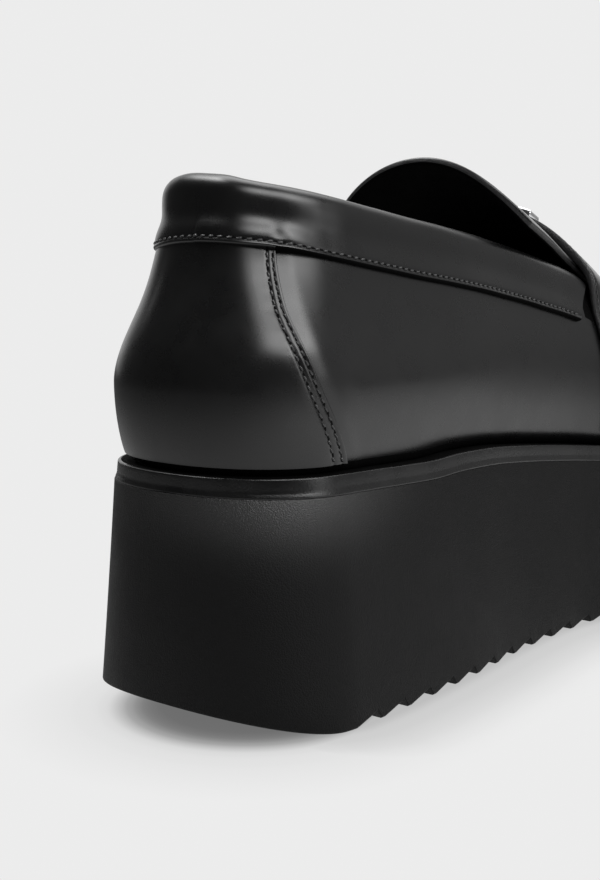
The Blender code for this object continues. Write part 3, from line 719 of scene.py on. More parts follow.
def makeInsole():
    s = np.linspace(*insole["ends"], insole["stations"])
    sides = [insetPoint(side * s, insole["inset"], np.zeros_like(s)) for side in (-1.0, 1.0)]
    base = rimAt(alongRim(s))
    across = np.linspace(-1.0, 1.0, insole["across"] + 1)
    top = []
    for q in across:
        row = sides[0] * (1.0 - q) / 2.0 + sides[1] * (1.0 + q) / 2.0
        row[:, 2] = base + insole["above"] - insole["cup"] * (1.0 - abs(q) ** 2.5) * 0.5
        top.append(row)
    top = np.stack(top, axis=1)
    bottom = top.copy()
    bottom[..., 2] = (base - insole["under"])[:, None]
    points, faces = sheetMesh(top, bottom)
    piece = makeMesh("footBed", points, faces, [liningAndShade], sharpAngle=50.0)
    return putOn(piece, "insole_leather", "insole")


makeInsole()

# Upper
upper = {"stations": 230, "rows": 46, "inner": 20, "ridge": 0.14, "ridgeAt": (3.2, 2.4),
         "tuck": 0.2, "tuckRows": 8, "throatShade": (136.0, 147.0, 1.68), "shut": 2.998}
counterRows = ((0.6, 28.0), (11.6, 21.5), (18.6, 17.8), (28.6, 13.9), (35, 11.9), (44.6, 10.9), (51, 10.9))
counterAt = curveThrough(counterRows, 1)


# Front edge of the heel counter
def counterFront(u, z):
    return counterAt(z - rimAt(0.0)) + shoe["innerCounter"] * (u > 0.0)


def makeUpper():
    half = np.linspace(0.0, 1.0, upper["stations"] + 1)
    extra = stationOf(np.linspace(*shoe["throat"], 9))
    half = np.unique(np.concatenate([half, extra]).round(6))
    u = np.concatenate([-half, half[-2:0:-1]])
    top = openingLevel(u)
    top = np.where(top > upper["shut"], 3.0, top)
    tucked = upper["tuckRows"]
    low = np.linspace(0.0, upper["tuck"], tucked)
    share = np.concatenate([low, np.linspace(upper["tuck"], 2.0, upper["rows"] - tucked + 2)[1:]])
    levels = top[:, None] * share[None, :] / 2.0
    rimX = alongRim(u)
    ahead = rimX[:, None] - counterFront(u[:, None], lastPoint(u[:, None], levels)[..., 2])
    outer = skinPoint(u[:, None], levels, upper["ridge"] * bump(ahead, *upper["ridgeAt"]))
    innerShare = np.linspace(0.0, 1.0, upper["inner"] + 1)
    innerLevels = top[:, None] * innerShare[None, :]
    inner = skinPoint(u[:, None], innerLevels, -shoe["wall"])
    inner[:, 0, 2] = outer[:, 0, 2]
    closed = top == 3.0
    inner[closed, -1] = outer[closed, -1] - np.array([0.0, 0.0, shoe["wall"]])
    loops = np.concatenate([outer, inner[:, ::-1]], axis=1)
    count, width = loops.shape[:2]
    rear, front, lowest = upper["throatShade"]
    faces = []
    slots = []
    for i in range(count):
        n = (i + 1) % count
        for j in range(width):
            if j == upper["rows"] and closed[i] and closed[n]:
                continue
            k = (j + 1) % width
            faces.append((i * width + j, i * width + k, n * width + k, n * width + j))
            # The lowest rows where the upper tucks in over the welt, and the throat beside the strap, take
            # the dull lining as painted shade; the inside wall is real lining
            inPaintedShade = rear < rimX[i] < front and levels[i, min(j, upper["rows"])] > lowest
            slots.append(0 if tucked - 1 <= j <= upper["rows"] and not inPaintedShade else 1)
    piece = makeMesh("upperWall", loops, faces, [polishedLeather, liningAndShade], slots)
    return putOn(piece, "polished_leather", "upper")


makeUpper()

# Collar band
band = {"front": 139.0, "stations": 170, "thick": 1.0, "hollow": 0.2, "hollowAt": (0.55, 0.28),
        "roll": 0.4, "rollRun": (0.45, 1.0), "rollSteps": 25, "sink": (2.1, 0.9), "sinkRun": (24.0, 70.0),
        "fold": 1.9, "foldSink": 1.0, "slant": 7.0, "slantRun": 24.0,
        "stitchUp": 1.3, "groove": 0.2, "grooveWidth": 0.45, "dent": 0.36, "dentAt": (11.6, 1.6, 2.8, 1.7),
        "lip": 0.6, "lipRows": 6, "fineTo": 5.0, "fineRows": 18, "plainRows": 10,
        "pad": 2.2, "padRun": (1.0, 40.0), "lining": 0.2, "seam": 0.4, "inside": 7.0,
        "insideRows": ((1.5, 0.9), (4.0, 0.5), (7.0, 0.0)), "shadeFrom": 11.0,
        # The step over the heel counter, outer and inner, and where it ends forwards and upwards
        "overCounter": (1.0, 0.58), "counterTop": 45.0, "stepRun": (-5.0, 18.0), "stepRise": (2.6, 8.0)}
bandRows = ((0, 13.3), (4.5, 12.4), (12, 12.1), (60, 12.1), (139, 12.0))
bandAt = curveThrough(bandRows, 1)


def bandHeight(u):
    x = alongRim(u)
    return bandAt(x) + collarLift(u, x)


# How far below the edge the padded roll begins
def bandSink(u):
    heel, side = band["sink"]
    return heel + (side - heel) * ease(alongRim(u), *band["sinkRun"])


# Stations near the front end, drawn back towards the lower edge
def bandStations(u, rise, height):
    x = alongRim(u)
    back = band["slant"] * (1.0 - np.clip(rise / height, 0.0, 1.0))
    back = back * ease(x, band["front"] - band["slantRun"], band["front"])
    return np.where(u < 0.0, -1.0, 1.0) * stationOf(x - back)


def bandFace(u, rise, height):
    x = alongRim(u)
    begin, end = [counterFront(u, rimAt(0.0) + band["counterTop"]) + run for run in band["stepRun"]]
    step = np.where(u < 0.0, *band["overCounter"])
    overPanel = step * (1.0 - ease(x, begin, end)) * (1.0 - ease(rise, *band["stepRise"]))
    share = rise / (height - bandSink(u))
    hollow = band["hollow"] * bump(share, *band["hollowAt"])
    roll = band["roll"] * ease(share, *band["rollRun"])
    groove = band["groove"] * bump(rise, band["stitchUp"], band["grooveWidth"])
    along, wide, up, tall = band["dentAt"]
    dent = band["dent"] * bump(x, along, wide) * bump(rise, up, tall) * (u < 0.0)
    lip = edgeDrop(rise, band["lip"])
    return shoe["feltGap"] + band["thick"] + overPanel + roll - hollow - groove - dent - lip


def makeBand():
    front = float(stationOf(band["front"]))
    u = np.linspace(-front, front, 2 * band["stations"] + 1)
    height = bandHeight(u)
    edge = lastPoint(u, 2.0)
    up = unit(edge - lastPoint(u, 1.97))
    fine = band["fineTo"]
    low = np.concatenate([np.linspace(0.0, 1.0, band["lipRows"]) * band["lip"],
                          np.linspace(band["lip"] + 0.2, fine, band["fineRows"])])
    foot = bandStations(u, 0.0 * u, height)
    loops = [skinPoint(foot, levelAtDepth(foot, height), 0.0)]
    rises = [r + 0.0 * u for r in low]
    rises += [fine + (height - bandSink(u) - fine) * t for t in np.linspace(0.1, 1.0, band["plainRows"])]
    for rise in rises:
        at = bandStations(u, rise, height)
        loops.append(skinPoint(at, levelAtDepth(at, height - rise), bandFace(at, rise, height)))
    outside = bandFace(u, height - bandSink(u), height)
    pad = band["pad"] * (1.0 - ease(alongRim(u), *band["padRun"]))
    inside = shoe["wall"] + band["lining"] + pad
    middle = ((outside - inside) / 2.0)[:, None]
    radius = ((outside + inside) / 2.0)[:, None]
    for angle in np.linspace(0.0, np.pi, band["rollSteps"])[1:]:
        sink = bandSink(u) if angle < np.pi / 2.0 else band["foldSink"] + 0.0 * u
        lift = (band["fold"] + sink) * math.sin(angle) - sink
        level = levelAtDepth(u, np.maximum(-lift, 0.0) * up[:, 2])
        base = lastPoint(u, level) + up * np.maximum(lift, 0.0)[:, None]
        loops.append(base + lastNormal(u, level) * (middle + radius * math.cos(angle)))
    for depth, share in band["insideRows"]:
        loops.append(skinPoint(u, levelAtDepth(u, depth), -shoe["wall"] - band["lining"] - pad * share))
    loops.append(skinPoint(u, levelAtDepth(u, band["inside"]), band["seam"] - shoe["wall"]))
    points = np.stack(loops, axis=1)
    count, width = points.shape[:2]
    faces = gridFaces(count, width, closedColumns=True)
    faces.append(tuple(range(width)))
    faces.append(tuple(range((count - 1) * width, count * width)))
    # The lower edge is given the dull lining further forward as painted shade, where it lies in its own
    # shade
    shaded = alongRim(u) > band["shadeFrom"]
    slots = []
    for face in faces:
        onEdge = len(face) == 4 and max(v % width for v in face) < band["lipRows"]
        slots.append(1 if onEdge and shaded[face[0] // width] else 0)
    piece = makeMesh("collarBand", points, faces, [polishedLeather, liningAndShade], slots)
    return putOn(piece, "polished_leather", "collar_band")


makeBand()

# Heel counter
counter = {"thick": 1.2, "lowest": 0.21, "columns": 70, "rows": 60, "fine": (6.0, 26), "depth": 44.0,
           "edgeRound": 0.6,
           "stitchIn": ((1.85, 4.35), (0.85, 2.1)), "groove": 0.2, "grooveWidth": 0.45, "under": 3.0,
           "drawn": 0.25, "drawnAt": (2.6, 3.0), "pucker": 0.05, "puckers": 22,
           "puckerAt": (2.5, 2.2)}


def counterPoint(side, inset, climb):
    low = counter["lowest"]
    u = np.zeros_like(inset)
    for _ in range(4):
        depth = bandHeight(u) - counter["under"]
        top = levelAtDepth(u, depth)
        level = low + (top - low) * climb
        edge = stationOf(counterFront(side + 0.0 * u, lastPoint(u, level)[..., 2]))
        reach = counterLength(side, edge, level)
        u = side * edge * np.clip(1.0 - inset / reach, 0.0, 1.0)
    return u, level


# Arc length from the heel's middle to the panel's front edge
def counterLength(side, edge, level):
    total = np.zeros_like(edge)
    before = lastPoint(np.zeros_like(edge), level)
    for share in np.linspace(0.0, 1.0, 13)[1:]:
        now = lastPoint(side * edge * share, level)
        total = total + np.linalg.norm(now - before, axis=-1)
        before = now
    return total


# Insets of the two stitch rows, closer together towards the top
def seamInsets(climb):
    foot, head = counter["stitchIn"]
    return [a + (b - a) * climb for a, b in zip(foot, head)]


def counterFace(inset, climb):
    drop = edgeDrop(inset, counter["edgeRound"])
    grooves = [bump(inset, place, counter["grooveWidth"]) for place in seamInsets(climb)]
    groove = counter["groove"] * sum(grooves)
    drawn = counter["drawn"] * bump(inset, *counter["drawnAt"])
    waves = np.cos(climb * 2.0 * np.pi * counter["puckers"])
    pucker = counter["pucker"] * waves * bump(inset, *counter["puckerAt"])
    return counter["thick"] - drop - groove - drawn + pucker


def makeCounter():
    climb = np.linspace(0.0, 1.0, counter["rows"] + 1)
    fine, steps = counter["fine"]
    far = np.linspace(fine, counter["depth"], counter["columns"] - steps + 1)[1:]
    insets = np.concatenate([np.linspace(0.0, fine, steps), far])
    halves = []
    for side in (-1.0, 1.0):
        inset, up = np.meshgrid(insets, climb, indexing="ij")
        u, level = counterPoint(side, inset, up)
        halves.append((skinPoint(u, level, counterFace(inset, up)), skinPoint(u, level, 0.0)))
    outer = np.concatenate([halves[0][0], halves[1][0][::-1]])
    inner = np.concatenate([halves[0][1], halves[1][1][::-1]])
    points, faces = sheetMesh(outer, inner)
    piece = makeMesh("heelCounter", points, faces, [polishedLeather], merge=0.03)
    return putOn(piece, "polished_leather", "heel_counter")


makeCounter()

# Tongue and apron
tongue = {"thick": 2.0, "tilt": 0.32, "corner": 7.0, "join": (150.0, 170.0), "apronEdge": 2.06,
          "seat": 0.5, "edgeRound": 0.55, "inner": (1.19, 0.92), "free": (98.0, 138.0), "aside": 1.5,
          "length": 150, "across": 40, "flatTo": 0.97, "halfSpan": 29.0, "edgeSpan": 30.0}
# x, half width, fall across and height
tongueRows = ((98, 30.5, 0.0162, 124.4), (120, 28.5, 0.0172, 116.6), (141, 25.5, 0.0205, 109.0),
              (165, 27.0, 0.0220, 98.2))
tongueHalf, tongueFall, tongueZ = [curveThrough(tongueRows, column) for column in (1, 2, 3)]


def tonguePoint(x, q, off):
    rearward = 1.0 - ease(x, *tongue["free"])
    wider, flatter = [1.0 + (share - 1.0) * rearward * (q > 0.0) for share in tongue["inner"]]
    d = q * tongueHalf(x) * wider
    fall = tongueFall(x) * flatter
    slope = -2.0 * fall * d
    normal = unit(np.stack([np.full_like(d, tongue["tilt"]), -slope, np.ones_like(d)], axis=-1))
    y = spineY(x) + d - tongue["aside"] * rearward
    return np.stack([x + 0.0 * d, y, tongueZ(x) - fall * d * d], axis=-1) + normal * off[..., None]


def apronPoint(x, q, off):
    x, q, off = np.broadcast_arrays(np.asarray(x, float), np.asarray(q, float), np.asarray(off, float))
    blend = ease(x, *tongue["join"])[..., None]
    level = 3.0 - np.abs(q) * (3.0 - tongue["apronEdge"])
    u = np.where(q < 0.0, -1.0, 1.0) * np.clip(stationOf(x), 1e-6, 1.0 - 1e-6)
    onVamp = skinPoint(u, level, tongue["seat"] + tongue["thick"] + off)
    return tonguePoint(spineX(x), q, off) * (1.0 - blend) + onVamp * blend


def makeTongue():
    rear = tongueRows[0][0]
    toe = shoe["length"] - shoe["rimToeInset"]
    near = np.linspace(0.0, 1.0, 6) * tongue["edgeRound"]
    share = np.sin(np.linspace(0.0, np.pi / 2.0, tongue["length"]))
    q = np.concatenate([np.linspace(0.0, tongue["flatTo"], tongue["across"]),
                        1.0 - near[::-1][1:] / tongue["edgeSpan"]])
    halves = []
    for side in (-1.0, 1.0):
        start = rear + tongue["corner"] * q ** 4
        x = start[None, :] + (toe - start)[None, :] * share[:, None]
        lead = np.stack([start + n for n in near[:-1]])
        x = np.concatenate([lead, np.maximum(x[1:], lead[-1] + 0.2)])
        inRear = x - start[None, :]
        inSide = (1.0 - q)[None, :] * tongue["halfSpan"]
        drop = edgeDrop(np.minimum(inRear, inSide), tongue["edgeRound"])
        across = side * q[None, :]
        outer = apronPoint(x, across, -drop)
        inner = apronPoint(x, across, -tongue["thick"] + drop)
        halves.append((outer[:, ::-1], inner[:, ::-1]))
    outer = np.concatenate([halves[0][0], halves[1][0][:-1][::-1]])
    inner = np.concatenate([halves[0][1], halves[1][1][:-1][::-1]])
    # The middle needs no edge, because the two halves meet there
    columns = outer.shape[1]
    width = 2 * columns
    points, faces = sheetMesh(outer, inner)
    faces = [face for face in faces if {v % width for v in face} != {columns - 1, columns}]
    slots = []
    for face in faces:
        j = [v % width for v in face]
        onFace = max(j) < columns
        onLining = min(j) >= columns
        slots.append(0 if onFace else 2 if onLining else 1)
    piece = makeMesh("tongueApron", points, faces, [polishedLeather, cutEdge, liningAndShade], slots)
    return putOn(piece, "polished_leather", "tongue_apron")


makeTongue()

# Strap
strap = {"rear": 138.0, "front": 162.0, "sweep": 5.5, "thick": 2.1, "endThick": 1.3, "seat": 0.15,
         "bridge": 0.5, "reach": 1.02, "hang": 0.42, "bend": 6.0, "land": 1.76, "end": 0.42,
         "edgeRound": 0.6, "edgeColumns": 3, "across": 220, "fine": (3.2, 15), "plain": 8, "leg": 65.0,
         "stitchIn": 2.0, "groove": 0.3, "grooveWidth": 0.55}


def strapPoint(x, q, drop, layer):
    x, q, drop = np.broadcast_arrays(np.asarray(x, float), np.asarray(q, float), np.asarray(drop, float))
    side = np.where(q < 0.0, -1.0, 1.0)
    place = x + strap["sweep"] * q * q
    share = np.clip(np.abs(q) - strap["bridge"], 0.0, None) / (1.0 - strap["bridge"])
    thick = strap["thick"] + (strap["endThick"] - strap["thick"]) * ease(share, 0.0, strap["hang"])
    off = strap["seat"] + thick * layer + drop
    arch = apronPoint(place, q / strap["bridge"] * strap["reach"], off)
    s = stationOf(place)
    down = np.clip((share - strap["hang"]) / (1.0 - strap["hang"]), 0.0, 1.0)
    onWall = skinPoint(side * s, strap["land"] + (strap["end"] - strap["land"]) * down, off)
    step = 0.03
    over = apronPoint(place, side * strap["reach"], off)
    overRun = over - apronPoint(place, side * (strap["reach"] - step), off)
    land = skinPoint(side * s, np.full_like(s, strap["land"]), off)
    landRun = skinPoint(side * s, np.full_like(s, strap["land"] - step), off) - land
    leave = over + unit(overRun) * strap["bend"]
    arrive = land - unit(landRun) * strap["bend"]
    turn = bezier(over, leave, arrive, land, np.clip(share / strap["hang"], 0.0, 1.0))
    hangs = ((share > 0.0) & (share < strap["hang"]))[..., None]
    return np.where((share == 0.0)[..., None], arch, np.where(hangs, turn, onWall))


def strapDrop(inset, inEnd):
    groove = strap["groove"] * bump(inset, strap["stitchIn"], strap["grooveWidth"])
    return -edgeDrop(np.minimum(inset, inEnd), strap["edgeRound"]) - groove


def makeStrap():
    width = strap["front"] - strap["rear"]
    fine, steps = strap["fine"]
    plain = np.linspace(fine, width / 2.0, strap["plain"])[1:]
    insets = np.concatenate([np.linspace(0.0, fine, steps), plain])
    across = np.concatenate([insets, width - insets[-2::-1]])
    q = np.linspace(-1.0, 1.0, strap["across"] + 1)
    inset = np.minimum(across, width - across)[None, :]
    inEnd = ((1.0 - np.abs(q)) * strap["leg"])[:, None]
    x = strap["rear"] + across[None, :]
    outer = strapPoint(x, q[:, None], strapDrop(inset, inEnd), 1.0)
    under = edgeDrop(np.minimum(inset, inEnd), strap["edgeRound"] * 0.8)
    inner = strapPoint(x, q[:, None], under, 0.0)
    points, faces = sheetMesh(outer, inner)
    columns = outer.shape[1]
    rim = {j for j in range(2 * columns)
           if min(j % columns, columns - 1 - j % columns) < strap["edgeColumns"]}
    slots = [1 if {v % (2 * columns) for v in face} <= rim else 0 for face in faces]
    piece = makeMesh("saddleStrap", points, faces, [polishedLeather, cutEdge], slots)
    return putOn(piece, "polished_leather", "strap")


makeStrap()

# Plain bar on the strap
bar = {"length": 19.0, "width": 5.0, "thick": 1.8, "place": 140.9, "seat": 0.1, "edgeRound": 0.9,
       "steps": (61, 25)}


def makeBar():
    reach = strap["bridge"] / strap["reach"] * bar["length"] / 2.0 / float(tongueHalf(bar["place"]))
    q = np.linspace(-reach, reach, bar["steps"][0])
    across = np.linspace(0.0, bar["width"], bar["steps"][1])
    inEnd = (reach - np.abs(q)) / reach * bar["length"] / 2.0
    inset = np.minimum(np.minimum(across, bar["width"] - across)[None, :], inEnd[:, None])
    x = (bar["place"] - bar["width"] / 2.0 + across)[None, :]
    top = strapPoint(x, q[:, None], bar["seat"] + bar["thick"] - edgeDrop(inset, bar["edgeRound"]), 1.0)
    low = strapPoint(x, q[:, None], bar["seat"], 1.0)
    points, faces = sheetMesh(top, low)
    piece = makeMesh("strapBar", points, faces, [barMetal])
    return putOn(piece, "bar_metal", "strap_bar")


makeBar()

# Stitches
stitch = {"pitch": 2.15, "length": 1.5, "radius": 0.25, "lift": 0.12, "dip": 0.35, "blunt": 0.04,
          "slant": 12.0, "rings": 7, "sides": 8, "hole": 0.48, "holeLong": 1.15, "holeSides": 10,
          "holeRows": ((-0.3, 0.9), (0.03, 1.0), (0.05, 0.7)),    # lift and size of a hole's rings
          "collarEnd": 1.5, "counterStep": 0.012, "counterRun": 0.95, "strapRun": 0.97,
          "apronRun": (168.0, 261.0, 0.93)}


def stitchRow(points, normals):
    steps = np.linalg.norm(np.diff(points, axis=0), axis=1)
    run = np.concatenate([[0.0], np.cumsum(steps)])
    count = int(run[-1] / stitch["pitch"])
    centres = (np.arange(count) + 0.5) * run[-1] / count

    def at(distance, table):
        return np.stack([np.interp(distance, run, table[:, k]) for k in range(3)], axis=-1)

    place = at(centres, points)
    along = unit(at(centres + 0.4, points) - at(centres - 0.4, points))
    normal = unit(at(centres, normals))
    across = np.cross(normal, along)
    slant = math.radians(stitch["slant"])
    lay = along * math.cos(slant) + across * math.sin(slant)
    holes = at(centres + run[-1] / count / 2.0, points)
    return {"place": place, "lay": lay, "across": np.cross(normal, lay), "normal": normal, "holes": holes,
            "along": along, "flat": across}


# Closed pieces from rings of points, all in one mesh
def ringPieces(name, pieces, mat):
    points = np.concatenate(pieces)
    count, rings, sides = points.shape[:3]
    faces = []
    for first in range(0, count * rings * sides, rings * sides):
        faces.extend(gridFaces(rings, sides, closedColumns=True, first=first))
        for end in (first, first + (rings - 1) * sides):
            faces.append(tuple(range(end, end + sides)))
    piece = makeMesh(name, points, faces, [mat], merge=0.0)
    return putOn(piece, "polished_leather")


def roundAngles(count):
    angles = np.linspace(0.0, 2.0 * np.pi, count, endpoint=False)
    return np.cos(angles)[:, None], np.sin(angles)[:, None]


def spread(row, *keys):
    return [row[key][:, None, None] for key in keys]


def makeStitches(name, rows):
    t = np.linspace(-1.0, 1.0, stitch["rings"])[:, None, None]
    cosine, sine = roundAngles(stitch["sides"])
    r = stitch["radius"] * np.sqrt(np.maximum(1.0 - t ** 4, stitch["blunt"]))
    lift = stitch["lift"] - stitch["dip"] * t ** 4
    pieces = []
    for row in rows:
        place, lay, across, normal = spread(row, "place", "lay", "across", "normal")
        centre = place + lay * t * stitch["length"] / 2.0 + normal * lift
        pieces.append(centre + across * r * cosine + normal * r * sine)
    return ringPieces(name, pieces, waxedThread)


# Dark discs at the needle holes, painted shade for the holes' insides
def makeHoles(name, rows):
    cosine, sine = roundAngles(stitch["holeSides"])
    lift, share = np.array(stitch["holeRows"]).T[:, :, None, None]
    pieces = []
    for row in rows:
        hole, along, across, normal = spread(row, "holes", "along", "flat", "normal")
        spot = along * cosine * stitch["holeLong"] + across * sine
        pieces.append(hole + spot * stitch["hole"] * share + normal * lift)
    return ringPieces(name, pieces, holeShade)


def collarRow():
    front = float(stationOf(band["front"] - stitch["collarEnd"]))
    u = np.linspace(-front, front, 400)
    height = bandHeight(u)
    rise = band["stitchUp"] + 0.0 * u
    u = bandStations(u, rise, height)
    level = levelAtDepth(u, height - rise)
    return stitchRow(skinPoint(u, level, bandFace(u, rise, height)), lastNormal(u, level))


def counterRow(side, k):
    climb = np.linspace(0.0, stitch["counterRun"], 160) + stitch["counterStep"] * k
    inset = seamInsets(climb)[k]
    u, level = counterPoint(side, inset, climb)
    return stitchRow(skinPoint(u, level, counterFace(inset, climb)), lastNormal(u, level))


def strapRow(inset):
    q = np.linspace(-stitch["strapRun"], stitch["strapRun"], 500)
    x = strap["rear"] + inset
    drop = strapDrop(min(inset, strap["front"] - x), np.inf)
    points = strapPoint(x, q, drop, 1.0)
    return stitchRow(points, strapPoint(x, q, drop + 1.0, 1.0) - points)


def apronRow():
    rear, front, across = stitch["apronRun"]
    there = np.linspace(rear, front, 220)
    x = np.concatenate([there, there[-2::-1]])
    q = across * np.where(np.arange(len(x)) < len(there), -1.0, 1.0)
    points = apronPoint(x, q, 0.0)
    return stitchRow(points, apronPoint(x, q, 1.0) - points)


stitchRows = {
    "collar": [collarRow()],
    "counter": [counterRow(side, k) for side in (-1.0, 1.0) for k in (0, 1)],
    "strap": [strapRow(strap["stitchIn"]), strapRow(strap["front"] - strap["rear"] - strap["stitchIn"])],
    "apron": [apronRow()],
}
for title, rows in stitchRows.items():
    makeStitches(title + "Stitches", rows)
    makeHoles(title + "Holes", rows)

# Camera at the photo's place
view = {"place": (-0.32978, -0.20089, 0.09754), "turn": 39.11, "tilt": 7.54, "focal": 1350.0, "tall": 880.0}


def makeCamera():
    data = bpy.data.cameras.new("photoCamera")
    data.sensor_width = 36.0
    data.lens = view["focal"] / view["tall"] * data.sensor_width
    data.clip_start = 0.01
    data.clip_end = 50.0
    camera = bpy.data.objects.new("photoCamera", data)
    scene.collection.objects.link(camera)
    turn, tilt = math.radians(view["turn"]), math.radians(view["tilt"])
    look = Vector((math.cos(turn) * math.cos(tilt), math.sin(turn) * math.cos(tilt), -math.sin(tilt)))
    camera.location = view["place"]
    camera.rotation_mode = "QUATERNION"
    camera.rotation_quaternion = look.to_track_quat("-Z", "Y")
    scene.camera = camera


makeCamera()

# Floor and light
studio = {"floorSize": 12.0, "backdrop": 0.84, "room": 0.05}
# Turn from +X towards +Y, rise, half sizes, soft edges and roll in degrees, then the brightness
softBoxes = (
    (-105.0, 48.5, (28.0, 11.0), (10.0, 6.0), -14.0, 7.5),     # key light
    (-81.0, 20.0, (7.5, 22.0), (6.5, 5.0), 16.0, 2.5),         # strip
    (40.0, 68.0, (34.0, 18.0), (10.0, 8.0), 0.0, 4.5),         # overhead
    (108.0, 57.0, (10.0, 5.0), (6.0, 4.0), 0.0, 11.0),         # window
    (35.0, 15.0, (42.0, 28.0), (7.0, 8.0), 0.0, 0.85),         # back wall
    (-50.0, 16.0, (30.0, 24.0), (18.0, 14.0), 0.0, 0.36),      # right wall
    (-150.0, 12.0, (38.0, 22.0), (18.0, 14.0), 0.0, 0.06),     # behind the camera
)
# What polished faces see of the floor: middle, reach and tone of soft patches
floorGlow = (
    ((0.20, -0.25), 0.38, 0.70), ((-0.17, -0.30), 0.22, 0.60), ((-0.15, 0.00), 0.35, 0.35),
    ((0.10, -0.80), 0.32, 1.00), ((1.50, -1.50), 1.90, 0.24),
)
# Contact shadow, in millimetres from the heel: round spot under the heel, soft border along the sides
floorShade = {
    "spot": (21.0, -6.0),
    "spotTones": ((20, 0.19), (24, 0.26), (26, 0.37), (28, 0.51), (31, 0.78), (34, 0.88), (40, 0.93),
                  (56, 1.0)),
    "sideTones": ((0, 0.61), (3, 0.72), (8, 0.77), (15, 0.87), (21, 0.96), (27, 1.0)),
    "halfWidths": ((-40, 0), (0, 40), (6, 60), (12, 69), (24, 75.2), (70, 74.2), (100, 71.8), (125, 72.6),
                   (150, 78), (178, 85.5), (215, 87), (240, 76), (255, 60), (264, 40), (310, 0)),
    "widthFloor": 49.0,
    "towardsOuter": 9.0,
}


def boxAxes(*angles):
    turn, rise, roll = [math.radians(angle) for angle in angles]
    ahead = Vector((math.cos(turn) * math.cos(rise), math.sin(turn) * math.cos(rise), math.sin(rise)))
    right = Vector((math.sin(turn), -math.cos(turn), 0.0))
    above = right.cross(ahead)
    across = right * math.cos(roll) - above * math.sin(roll)
    upwards = above * math.cos(roll) + right * math.sin(roll)
    return ahead, (across, upwards)


# One look for the rays named and another for all the others
def mixByRay(tree, ray, others, named, end):
    path = tree.nodes.new("ShaderNodeLightPath")
    mix = tree.nodes.new("ShaderNodeMixShader")
    tree.links.new(path.outputs[ray], mix.inputs["Fac"])
    tree.links.new(others.outputs[0], mix.inputs[1])
    tree.links.new(named.outputs[0], mix.inputs[2])
    tree.links.new(mix.outputs["Shader"], end.inputs["Surface"])


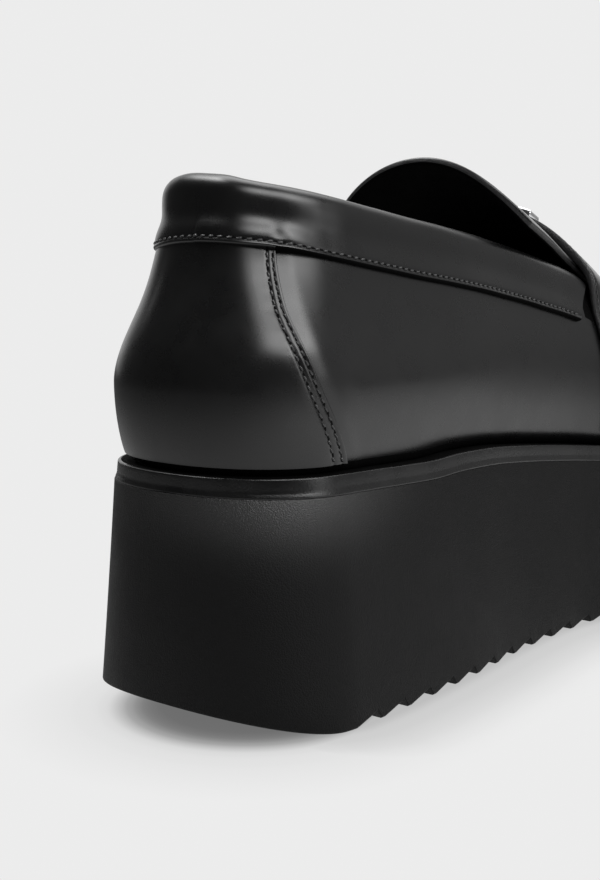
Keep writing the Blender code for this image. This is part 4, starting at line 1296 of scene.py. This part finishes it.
def makeFloor():
    size = studio["floorSize"] / 2.0
    mesh = bpy.data.meshes.new("studioFloor")
    corners = [(-size, -size, 0.0), (size, -size, 0.0), (size, size, 0.0), (-size, size, 0.0)]
    mesh.from_pydata(corners, [], [(0, 1, 2, 3)])
    mat, tree, shader = newMaterial("paleFloor")
    tree.nodes.remove(shader)
    place = tree.nodes.new("ShaderNodeNewGeometry").outputs["Position"]

    def farFrom(spot):
        return vectorNode(tree, "DISTANCE", place, (*spot, 0.0)).outputs["Value"]

    def toneCurve(value, stops, low, high):
        node = tree.nodes.new("ShaderNodeValToRGB")
        for i, (at, tone) in enumerate(stops):
            mark = node.color_ramp.elements[i] if i < 2 else node.color_ramp.elements.new(1.0)
            mark.position = (at - low) / (high - low)
            mark.color = (tone, tone, tone, 1.0)
        node.color_ramp.interpolation = "CARDINAL"
        tree.links.new(rampBetween(tree, value, 0.0, 1.0, low * 0.001, high * 0.001), node.inputs["Fac"])
        return node.outputs["Color"]

    axes = tree.nodes.new("ShaderNodeSeparateXYZ")
    tree.links.new(place, axes.inputs["Vector"])
    fromHeel = mathNode(tree, "SUBTRACT", axes.outputs["X"], shoe["shift"][0] * 0.001)
    middle = (shoe["shift"][1] - floorShade["towardsOuter"]) * 0.001
    aside = mathNode(tree, "ABSOLUTE", mathNode(tree, "SUBTRACT", axes.outputs["Y"], middle))
    widths = [(x, half / 100.0) for x, half in floorShade["halfWidths"]]
    half = mathNode(tree, "MULTIPLY", toneCurve(fromHeel, widths, -40.0, 310.0), 0.1)
    border = mathNode(tree, "SUBTRACT", half, floorShade["widthFloor"] * 0.001)
    beside = mathNode(tree, "SUBTRACT", aside, border)
    spot = [(a + b) * 0.001 for a, b in zip(floorShade["spot"], shoe["shift"])]
    shade = mathNode(tree, "MINIMUM", toneCurve(farFrom(spot), floorShade["spotTones"], 0.0, 60.0),
                     toneCurve(beside, floorShade["sideTones"], 0.0, 30.0))
    plain = tree.nodes.new("ShaderNodeEmission")
    tree.links.new(mathNode(tree, "MULTIPLY", shade, studio["backdrop"]), plain.inputs["Strength"])
    total = studio["room"]
    for spot, reach, tone in floorGlow:
        light = mathNode(tree, "MULTIPLY", bellNode(tree, farFrom(spot), reach), tone)
        total = mathNode(tree, "ADD", light, total)
    glow = tree.nodes.new("ShaderNodeEmission")
    tree.links.new(total, glow.inputs["Strength"])
    mixByRay(tree, "Is Glossy Ray", plain, glow, tree.nodes["Material Output"])
    mesh.materials.append(mat)
    floor = bpy.data.objects.new("studioFloor", mesh)
    scene.collection.objects.link(floor)


def makeWorld():
    world = bpy.data.worlds.new("studioWorld")
    scene.world = world
    world.use_nodes = True
    tree = world.node_tree
    tree.nodes.clear()
    direction = tree.nodes.new("ShaderNodeTexCoord").outputs["Generated"]

    def dot(axis):
        return vectorNode(tree, "DOT_PRODUCT", direction, axis).outputs["Value"]

    total = studio["room"]
    for turn, rise, half, soft, roll, power in softBoxes:
        ahead, sides = boxAxes(turn, rise, roll)
        front = mathNode(tree, "MAXIMUM", dot(ahead), 0.001)
        light = power
        for axis, wide, fade in zip(sides, half, soft):
            aside = mathNode(tree, "ABSOLUTE", mathNode(tree, "DIVIDE", dot(axis), front))
            edges = [math.tan(math.radians(angle)) for angle in (wide - fade, wide + fade)]
            light = mathNode(tree, "MULTIPLY", rampBetween(tree, aside, 1.0, 0.0, *edges), light)
        total = mathNode(tree, "ADD", light, total)
    lit = tree.nodes.new("ShaderNodeBackground")
    tree.links.new(total, lit.inputs["Strength"])
    seen = tree.nodes.new("ShaderNodeBackground")
    seen.inputs["Strength"].default_value = studio["backdrop"]
    for node in (lit, seen):
        node.inputs["Color"].default_value = (1.0, 1.0, 1.0, 1.0)
    mixByRay(tree, "Is Camera Ray", lit, seen, tree.nodes.new("ShaderNodeOutputWorld"))


makeFloor()
makeWorld()
scene.view_settings.view_transform = "Standard"
print("camera, floor and light made")
